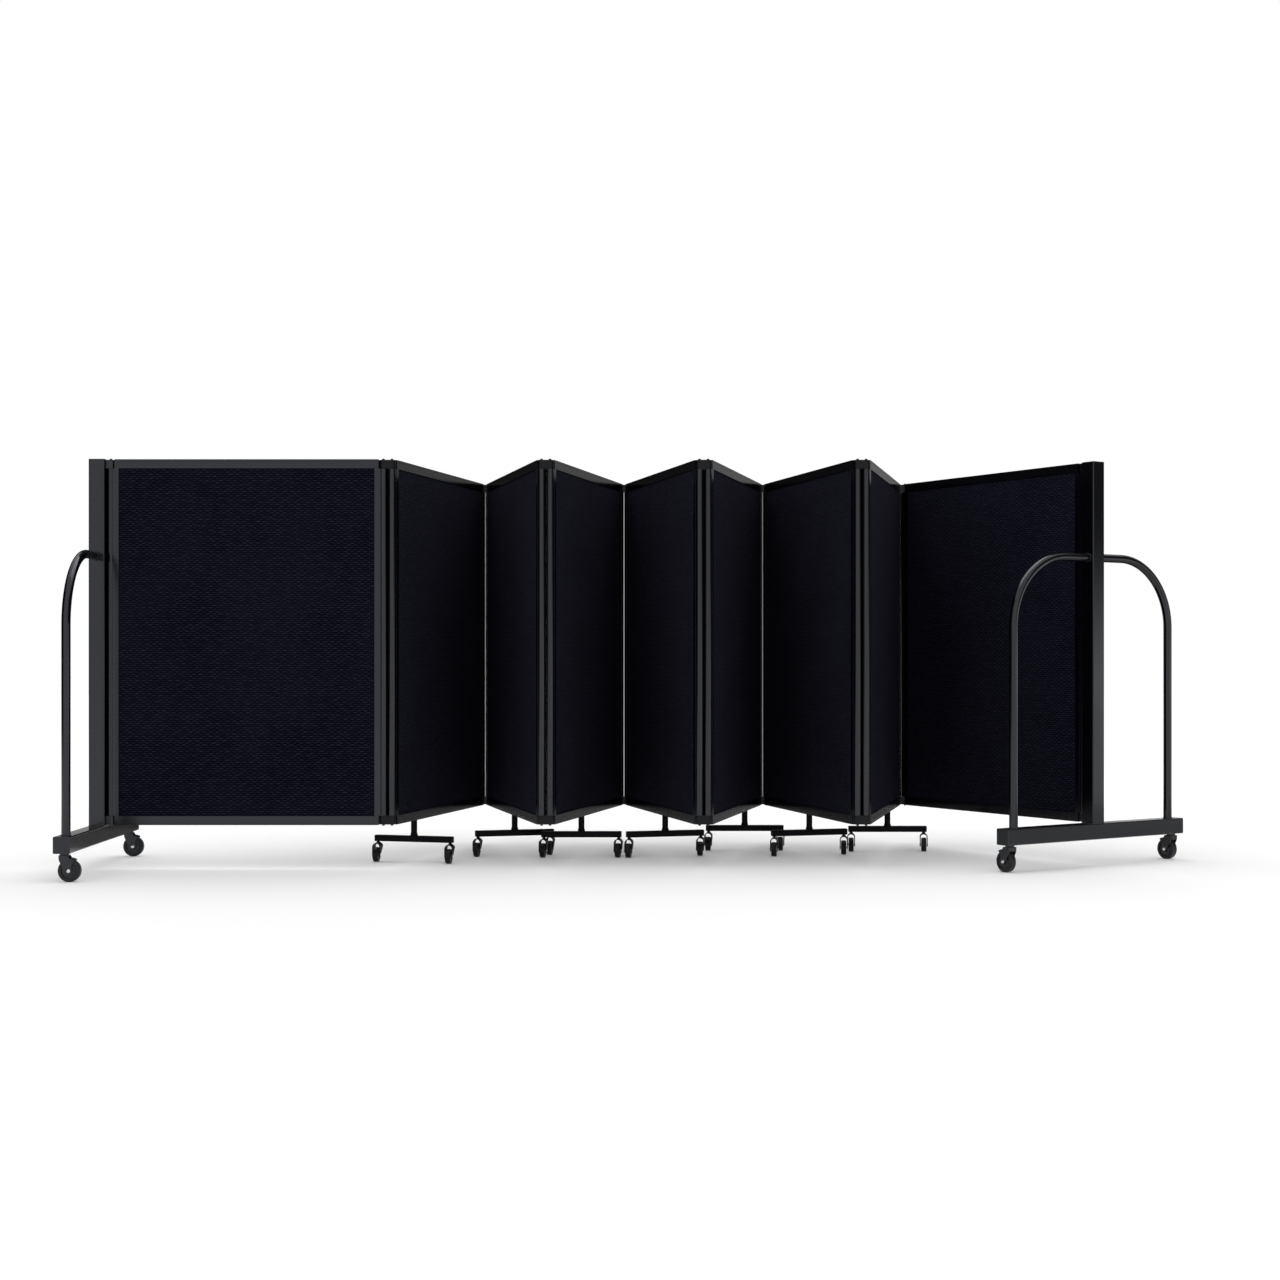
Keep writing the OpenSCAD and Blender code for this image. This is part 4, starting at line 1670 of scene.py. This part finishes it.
@dataclass
class EndCaster:
    """A large swivel caster: head, hooded fork, axle bolt and wheel.

    The bends of its outlines are measured from the eye's rear edge, the head and the stem.
    """

    layout: Layout
    wheel: Wheel = Wheel(0.0635, 0.022, 0.00408)
    axle: Axle = Axle(
        0.004,
        (
            (0.0, -0.0004),
            (0.0052, -0.0004),
            (0.0052, 0.0003),
            (0.0045, 0.0011),
            (0.0030, 0.0015),
            (0.0024, 0.0009),
            (0.0, 0.0008),
        ),
        28,
        32,
    )
    trail: float = 0.015
    head_radius: float = 0.01375
    head_top: float = 0.0807
    head_height: float = 0.009
    head_overlap: float = 0.6
    head_sides: int = 48
    race_lip: float = 0.001
    race_groove: float = 0.0014
    race_levels: tuple[float, ...] = (0.0036, 0.0042, 0.0052, 0.0058)
    cheek: float = 0.0025
    side_gap: float = 0.001
    eye_radius: float = 0.0098
    eye_turn: tuple[float, float] = (185.0, 360.0)
    eye_steps: int = 18
    arm_rear: tuple[Bend, ...] = ((-0.001, 0.014), (-0.002, 0.026))
    arm_neck: Bend = (0.0016, -0.012)
    arm_knee: Bend = (0.0075, 0.017)
    bridge_tip: Bend = (-0.006, 0.0015)
    bridge_neck: Bend = (0.0016, -0.0174)
    bridge_heel: Bend = (-0.006, -0.0225)
    hood_inner: float = 0.03325
    hood_wall: float = 0.0025
    hood_window: float = 0.0175
    hood_ends: tuple[float, float] = (60.0, 108.0)
    hood_steps: int = 14
    window_steps: int = 10
    trim: float = 0.0002
    arm_bevel: float = 0.0006
    hood_bevel: float = 0.0004

    @property
    def hub(self) -> tuple[float, float]:
        """The axle's place in the side view: its distance from the stem and its height."""
        return self.trail, self.wheel.diameter / 2

    @property
    def head_seat(self) -> tuple[tuple[float, float], tuple[float, float]]:
        """The two corners of the side view that end inside the head.

        Returns:
            The rear corner and the front one.
        """
        low = self.head_top - self.head_height * self.head_overlap
        reach = self.head_radius - self.race_lip
        return (reach, low), (-reach, low)

    def arm(self) -> Outline:
        """Returns the side view of a cheek's arm, from the eye up to the head and down its back.

        Returns:
            The outline.
        """
        x, height = self.hub
        rear = x + self.eye_radius
        front, low = -self.head_radius, self.head_seat[0][1]
        (neck_x, neck_z), (knee_x, knee_z) = self.arm_neck, self.arm_knee
        return [
            *arc(self.hub, self.eye_radius, *self.eye_turn, self.eye_steps),
            *[(rear + across, height + up) for across, up in self.arm_rear],
            *self.head_seat,
            (front + neck_x, low + neck_z),
            (front + knee_x, height + knee_z),
        ]

    def band(self, inner: float, steps: int) -> Outline:
        """Returns the side view of a band over the wheel's crown.

        Args:
            inner: its inner radius.
            steps: the pieces in its inner edge.

        Returns:
            The outline.
        """
        start, end = self.hood_ends
        outer = arc(self.hub, self.hood_inner + self.hood_wall, start, end, self.hood_steps)
        return outer + arc(self.hub, inner, end, start, steps)

    def bridge(self) -> Outline:
        """Returns the side view of the web that joins the arms in front of the wheel.

        Returns:
            The outline.
        """
        x, height = self.hub
        (tip_x, tip_z), (neck_x, neck_z) = self.bridge_tip, self.bridge_neck
        heel_x, heel_z = self.bridge_heel
        return [
            (x + tip_x, height + self.hood_inner + tip_z),
            *self.head_seat,
            (neck_x - self.head_radius, self.head_top + neck_z),
            (heel_x, self.head_top + heel_z),
        ]

    def race(self) -> Outline:
        """Returns the head's profile, with the groove between its two races.

        Returns:
            Radius and height of each point.
        """
        r, lip, top = self.head_radius, self.race_lip, self.head_top
        low, waist = top - self.head_height, r - self.race_groove
        groove = zip((r, waist, waist, r), self.race_levels)
        lower, upper = [(r - lip, low), (r, low + lip)], [(r, top - lip), (r - lip, top)]
        middle = [(radius, low + height) for radius, height in groove]
        return [(0.0, low), *lower, *middle, *upper, (0.0, top)]

    def fork(self, label: str) -> bpy.types.Object:
        """Builds one fork with its head and its axle.

        Args:
            label: the caster's side and end.

        Returns:
            The finished fork.
        """
        swivel = self.layout.at(f"caster_{label}_swivel")
        run = self.layout.at(f"caster_wheel_{label}_spin") - swivel
        axes = turned(swivel, run)
        flat = axes @ Matrix.Rotation(QUARTER_TURN, 4, "X")
        shape = Shape(f"caster_{label}")
        inner = self.wheel.width / 2 + self.side_gap
        outer = inner + self.cheek
        reach = outer - self.trim
        for face in (-1, 1):
            ends = tuple(sorted((face * inner, face * outer)))
            shape.prism(self.arm(), ends, flat, Look.FORK_SATIN, self.arm_bevel)
            ends = tuple(sorted((face * inner, face * reach)))
            side = self.band(self.hood_window, self.window_steps)
            shape.prism(side, ends, flat, Look.FORK_SATIN, self.hood_bevel)
        roof = self.band(self.hood_inner, self.hood_steps)
        shape.prism(roof, (-reach, reach), flat, Look.FORK_SATIN, self.hood_bevel)
        ends = (-inner - self.trim, inner + self.trim)
        shape.prism(self.bridge(), ends, flat, Look.FORK_SATIN, self.arm_bevel)
        shape.lathe(self.race(), axes, Look.FORK_SATIN, self.head_sides)
        self.axle.add(shape, flat @ moved(*self.hub), outer)
        return shape.finish(f"caster_{label}", "caster_black", f"caster_fork_{label}")

    def build(self) -> Iterator[bpy.types.Object]:
        """Builds all four end casters, each fork before its wheel.

        Returns:
            The finished pieces, one at a time.
        """
        for label in (f"{side}_{end}" for side in SIDES for end in ENDS):
            yield self.fork(label)
            body = f"caster_wheel_{label}"
            yield self.wheel.build(f"end_wheel_{label}", body, self.layout.axle(f"{body}_spin"))


@dataclass
class TFoot:
    """A T foot: a round stem with a flared collar, a square cross bar and two small casters.

    The bends of a fork's cheeks are measured from its top, over the axle and over the neck.
    """

    layout: Layout
    wheel: Wheel = Wheel(0.045, 0.0165, 0.00308, Look.SMALL_WHEEL, Look.SMALL_WHEEL)
    axle: Axle = Axle(
        0.003,
        ((0.0, -0.0003), (0.004, -0.0003), (0.0038, 0.0006), (0.003, 0.001), (0.0, 0.0011)),
        24,
        24,
    )
    bar_side: float = 0.019
    bar_corner: float = 0.0018
    bar_length: float = 0.254
    bar_low: float = 0.062
    plug_length: float = 0.0022
    plug_bevel: float = 0.0006
    plug_step: float = 0.0004
    stem_radius: float = 0.0095
    stem_chamfer: float = 0.0008
    stem_top: float = 0.1292
    stem_sides: int = 36
    collar_radius: float = 0.0115
    collar_height: float = 0.008
    collar_lip: float = 0.0006
    collar_fillet: float = 0.001
    pitch: float = 0.236
    trail: float = 0.021
    fork_width: float = 0.025
    fork_top: float = 0.058
    fork_back: float = -0.0105
    fork_bevel: float = 0.0005
    cheek: float = 0.0026
    cheek_rise: float = 0.0035
    cheek_rear: tuple[Bend, ...] = ((0.006, -0.008), (0.001, -0.0015), (-0.004, 0.0))
    cheek_front: tuple[Bend, ...] = ((-0.010, 0.0), (-0.012, -0.004), (-0.010, -0.012))
    crown: float = 0.0025
    arch_steps: int = 20
    arch_reach: float = 0.004
    neck_radius: float = 0.0045
    neck_flange: float = 0.0022
    neck_levels: tuple[float, float, float] = (-0.0005, 0.0008, 0.0012)
    neck_grip: float = 0.004
    neck_sides: int = 28
    eye_radius: float = 0.007
    eye_steps: int = 16

    @property
    def hub(self) -> tuple[float, float]:
        """The axle's place in the side view: its distance from the neck and its height."""
        return self.trail, self.wheel.diameter / 2

    def side_view(self) -> Outline:
        """Returns the fork's side view: the axle towards +X, the neck on X = 0.

        Returns:
            The outline.
        """
        return [
            *arc(self.hub, self.eye_radius, 180, 360, self.eye_steps),
            *[(self.trail + across, self.fork_top + up) for across, up in self.cheek_rear],
            *[(across, self.fork_top + up) for across, up in self.cheek_front],
        ]

    def neck(self) -> Outline:
        """Returns the profile of the neck that carries the fork, with its flange.

        Returns:
            Radius and height of each point.
        """
        radius, flange = self.neck_radius, self.neck_radius + self.neck_flange
        low, rim, waist = (self.fork_top + level for level in self.neck_levels)
        high = self.bar_low + self.neck_grip
        lower = [(0.0, low), (flange, low), (flange, rim)]
        return [*lower, (radius, waist), (radius, high), (0.0, high)]

    def fork(self, shape: Shape, axes: Matrix) -> None:
        """Adds one small fork: two cheeks joined by a round arch, a neck and the axle.

        Args:
            shape: the foot's shape.
            axes: the caster's axes, with its wheel behind it on +X.
        """
        flat = axes @ Matrix.Rotation(QUARTER_TURN, 4, "X")
        outer = self.fork_width / 2
        inner = outer - self.cheek
        crest = self.fork_top - self.crown - inner
        cut = [(x, min(z, crest + self.cheek_rise)) for x, z in self.side_view()]
        cheek = list(dict.fromkeys(cut))
        for face in (-1, 1):
            ends = tuple(sorted((face * inner, face * outer)))
            shape.prism(cheek, ends, flat, Look.FOOT_FORK, self.fork_bevel)
        over = arc((0, crest), outer, 0, 180, self.arch_steps)
        under = arc((0, crest), inner, 180, 0, self.arch_steps)
        roof = [(y, min(z, self.fork_top)) for y, z in over] + under
        ends = (self.fork_back, self.trail + self.arch_reach)
        shape.prism(roof, ends, axes @ lying("X"), Look.FOOT_FORK, self.fork_bevel)
        shape.lathe(self.neck(), axes, Look.FOOT_FORK, self.neck_sides)
        self.axle.add(shape, flat @ moved(*self.hub), outer)

    def bar(self, shape: Shape, axes: Matrix) -> None:
        """Adds the cross bar with its moulded end plugs.

        Args:
            shape: the foot's shape.
            axes: the foot's axes.
        """
        end = self.bar_length / 2
        half = end - self.plug_length
        middle = axes @ moved(z=self.bar_low + self.bar_side / 2) @ lying("X")
        tube = rounded_square(self.bar_side, self.bar_corner)
        shape.prism(tube, (-half, half), middle, Look.FOOT_MATT)
        plug = rounded_square(self.bar_side - self.plug_step, self.bar_corner)
        for ends in ((-end, -half), (half, end)):
            shape.prism(plug, ends, middle, Look.FOOT_MATT, self.plug_bevel)

    def stem(self, shape: Shape, axes: Matrix) -> None:
        """Adds the stem with its flared collar.

        Args:
            shape: the foot's shape.
            axes: the foot's axes.
        """
        low, top, radius = self.bar_low + self.bar_side, self.stem_top, self.stem_radius
        flare = low + self.collar_height
        profile = [
            (0.0, low),
            (self.collar_radius, low),
            (self.collar_radius, low + self.collar_height / 3),
            (radius + self.collar_lip, flare),
            (radius, flare + self.collar_fillet),
            (radius, top - self.stem_chamfer),
            (radius - self.stem_chamfer, top),
            (0.0, top),
        ]
        shape.lathe(profile, axes, Look.FOOT_MATT, self.stem_sides)

    def build(self) -> Iterator[bpy.types.Object]:
        """Builds every T foot and its wheels.

        Returns:
            The finished pieces, one at a time.
        """
        for number in FEET:
            axes = self.layout.foot_axes(number)
            shape = Shape(f"foot_{number}")
            self.bar(shape, axes)
            self.stem(shape, axes)
            for mark, sign in (("a", -1), ("b", 1)):
                body = f"foot_wheel_{number}{mark}"
                axle = self.layout.axle(f"{body}_spin")
                neck = axes @ Vector((sign * self.pitch / 2, 0, 0))
                self.fork(shape, turned(neck, axle[0] - neck))
                yield self.wheel.build(f"small_wheel_{number}{mark}", body, axle)
            yield shape.finish(f"foot_{number}", "foot_black", f"t_foot_{number}")


# --------------------------------------------------------------------------------------------
# Studio
# --------------------------------------------------------------------------------------------


@dataclass(frozen=True)
class MirrorCard:
    """A card round the set, from one corner to the opposite one, which gloss mirrors.

    It is one level up to the first of its heights, and the other level from the second.
    """

    name: str
    near: Place
    far: Place
    levels: tuple[float, float]
    heights: tuple[float, float] = (0.0, 1.0)

    @property
    def corners(self) -> list[Place]:
        """The card's four corners, in order.

        Returns:
            The corners.
        """
        (ax, ay, az), (bx, by, bz) = self.near, self.far
        if az == bz:
            return [(ax, ay, az), (bx, ay, az), (bx, by, bz), (ax, by, bz)]
        return [(ax, ay, az), (bx, by, az), (bx, by, bz), (ax, ay, bz)]

    @classmethod
    def floor_shade_card(
        cls, name: str, near: tuple[float, float], far: tuple[float, float], level: float
    ) -> Self:
        """Returns an even card just over the floor: painted shade of the floor, which only gloss
        sees.
        """
        height = FLOOR_CARD_HEIGHT
        return cls(name, (*near, height), (*far, height), (level, level))


MIRROR_CARDS = (
    MirrorCard("left card", (-9.0, -7.0, 0.0), (-9.0, 9.0, 9.0), (0.03, 0.03)),
    MirrorCard("right card", (9.0, -7.0, 0.3), (9.0, 5.0, 8.0), (1.45, 0.09), (0.3, 1.6)),
    MirrorCard("rear left card", (-9.0, 9.0, 0.3), (3.9, 9.0, 8.0), (0.90, 0.02), (0.4, 1.5)),
    MirrorCard("rear right card", (3.9, 9.0, 0.3), (9.0, 9.0, 8.0), (1.00, 0.28), (0.4, 1.5)),
    # Painted shade: these dark cards stand for the shaded floor near and behind the partition, and
    # only gloss sees them.
    MirrorCard.floor_shade_card("near left floor card", (-3.0, 0.3), (0.0, 1.1), 0.15),
    MirrorCard.floor_shade_card("far left floor card", (-3.0, 1.1), (0.0, 2.4), 0.06),
    MirrorCard.floor_shade_card("middle floor card", (0.0, 0.3), (1.1, 2.4), 0.17),
    MirrorCard.floor_shade_card("far right floor card", (1.1, 0.3), (3.0, 2.4), 0.08),
    MirrorCard.floor_shade_card("right floor card", (1.8, -2.0), (3.8, 0.3), 0.60),
)


@dataclass
class Studio:
    """The camera of the photograph, a white floor and plain soft light."""

    eye: Place = (-0.0935, -5.7777, 0.6168)
    focal_pixels: float = 1865.66
    centre_pixels: tuple[float, float] = (618.53, 661.50)
    image_pixels: float = 1280.0
    sensor: float = 36.0
    sight: float = 200.0
    floor_size: float = 60.0
    floor_colour: float = 0.90
    # The floor's glow near the partition and far off; the weaker near glow is painted shade round
    # the partition.
    floor_lift: tuple[float, float] = (0.12, 0.30)
    painted_shade_reach: tuple[float, float] = (1.7, 4.2)
    sky: float = 0.84
    lamp_place: Place = (0.0, 0.6, 5.0)
    lamp_aim: Place = (0.0, 0.0, 0.4)
    lamp_size: float = 4.0
    lamp_power: float = 82.0

    @staticmethod
    def put(name: str, data: bpy.types.ID) -> bpy.types.Object:
        """Returns a new object in the scene.

        Args:
            name: the object's name.
            data: its mesh, camera or lamp.

        Returns:
            The object.
        """
        made = bpy.data.objects.new(name, data)
        bpy.context.scene.collection.objects.link(made)
        return made

    def sheet(self, name: str, corners: list[Place], look: str) -> tuple[bpy.types.Object, Graph]:
        """Sets up a flat sheet that isn't part of the object.

        Args:
            name: the sheet's name.
            corners: its four corners, in order.
            look: its material's name.

        Returns:
            The sheet, and its material's empty graph.
        """
        data = bpy.data.meshes.new(name)
        data.from_pydata(corners, [], [(0, 1, 2, 3)])
        made = bpy.data.materials.new(look)
        data.materials.append(made)
        sheet = self.put(name, data)
        return sheet, cleared(made)

    def camera(self) -> None:
        """Sets the camera that was fitted to the photograph."""
        half, (x, y) = self.image_pixels / 2, self.centre_pixels
        data = bpy.data.cameras.new("camera")
        data.sensor_width = self.sensor
        data.sensor_fit = "HORIZONTAL"
        data.lens = self.focal_pixels / self.image_pixels * self.sensor
        data.shift_x = (half - x) / self.image_pixels
        data.shift_y = (y - half) / self.image_pixels
        data.clip_end = self.sight
        camera = self.put("camera", data)
        camera.location = self.eye
        camera.rotation_euler = (QUARTER_TURN, 0, 0)
        bpy.context.scene.camera = camera

    def seen(self, graph: Graph) -> Socket:
        """Returns a mask of the rays that see a thing: camera, mirror and glass rays.

        Args:
            graph: the tree that it goes into.

        Returns:
            The mask's socket.
        """
        rays = graph.add("ShaderNodeLightPath").outputs
        straight = graph.math("ADD", rays["Is Camera Ray"], rays["Is Glossy Ray"], clamp=True)
        return graph.math("ADD", straight, rays["Is Transmission Ray"], clamp=True)

    def floor(self) -> None:
        """Lays a white floor that keeps the partition's shadow; the glow that camera and gloss see
        is weaker near the partition, a painted shade round it.
        """
        half = self.floor_size / 2
        corners = [(-half, -half, 0), (half, -half, 0), (half, half, 0), (-half, half, 0)]
        _, graph = self.sheet("floor", corners, "white floor")
        colour = (self.floor_colour,) * 3 + (1.0,)
        matt = graph.add("ShaderNodeBsdfDiffuse", {"Color": colour}).outputs[0]
        # Painted shade: the floor glows less near the partition than far off, where it glows white.
        reach = graph.add("ShaderNodeVectorMath", {0: graph.place()}, operation="LENGTH")
        strength = graph.ramp(reach.outputs["Value"], *self.painted_shade_reach, *self.floor_lift)
        glow = {"Color": WHITE, "Strength": strength}
        lift = graph.add("ShaderNodeEmission", glow).outputs[0]
        lifted = graph.add("ShaderNodeAddShader", {0: matt, 1: lift}).outputs[0]
        mix = {0: self.seen(graph), 1: matt, 2: lifted}
        mixed = graph.add("ShaderNodeMixShader", mix).outputs[0]
        graph.add("ShaderNodeOutputMaterial", {"Surface": mixed})

    def sky_light(self) -> None:
        """Sets a plain world that is white where it is seen."""
        world = bpy.data.worlds.new("studio")
        graph = cleared(world)
        light, white = (
            graph.add("ShaderNodeBackground", {"Color": WHITE, "Strength": level}).outputs[0]
            for level in (self.sky, 1.0)
        )
        mix = {0: self.seen(graph), 1: light, 2: white}
        mixed = graph.add("ShaderNodeMixShader", mix).outputs[0]
        graph.add("ShaderNodeOutputWorld", {"Surface": mixed})
        bpy.context.scene.world = world

    def card(self, card: MirrorCard) -> None:
        """Sets up one card, which shows in gloss and nowhere else.

        Args:
            card: the card's place and levels.
        """
        sheet, graph = self.sheet(card.name, card.corners, card.name)
        height = graph.add("ShaderNodeSeparateXYZ", {0: graph.place()}).outputs["Z"]
        level = graph.ramp(height, *card.heights, *card.levels)
        glow = graph.add("ShaderNodeEmission", {"Color": WHITE, "Strength": level}).outputs[0]
        graph.add("ShaderNodeOutputMaterial", {"Surface": glow})
        sheet.visible_camera = False
        sheet.visible_diffuse = False
        sheet.visible_transmission = False
        sheet.visible_shadow = False

    def lamp(self) -> None:
        """Hangs the square lamp over the partition."""
        data = bpy.data.lights.new("overhead lamp", "AREA")
        data.size = self.lamp_size
        data.energy = self.lamp_power
        lamp = self.put("overhead lamp", data)
        lamp.location = self.lamp_place
        aim = Vector(self.lamp_aim) - Vector(self.lamp_place)
        lamp.rotation_euler = aim.to_track_quat("-Z", "Y").to_euler()

    def build(self) -> None:
        """Sets up the whole studio."""
        bpy.context.scene.view_settings.view_transform = "Standard"
        self.camera()
        self.floor()
        self.sky_light()
        for card in MIRROR_CARDS:
            self.card(card)
        self.lamp()


def main() -> None:
    """Builds the studio and every sub-assembly."""
    logging.basicConfig(level=logging.INFO, format="%(name)s: %(message)s")
    layout = Layout(frame["joints"])
    hinge = Hinge(layout)
    Studio().build()
    assemblies = (Panel(layout), hinge, EndFrame(layout, hinge), EndCaster(layout), TFoot(layout))
    for assembly in assemblies:
        for piece in assembly.build():
            LOG.info("%s", piece.name)


if __name__ == "__main__":
    main()
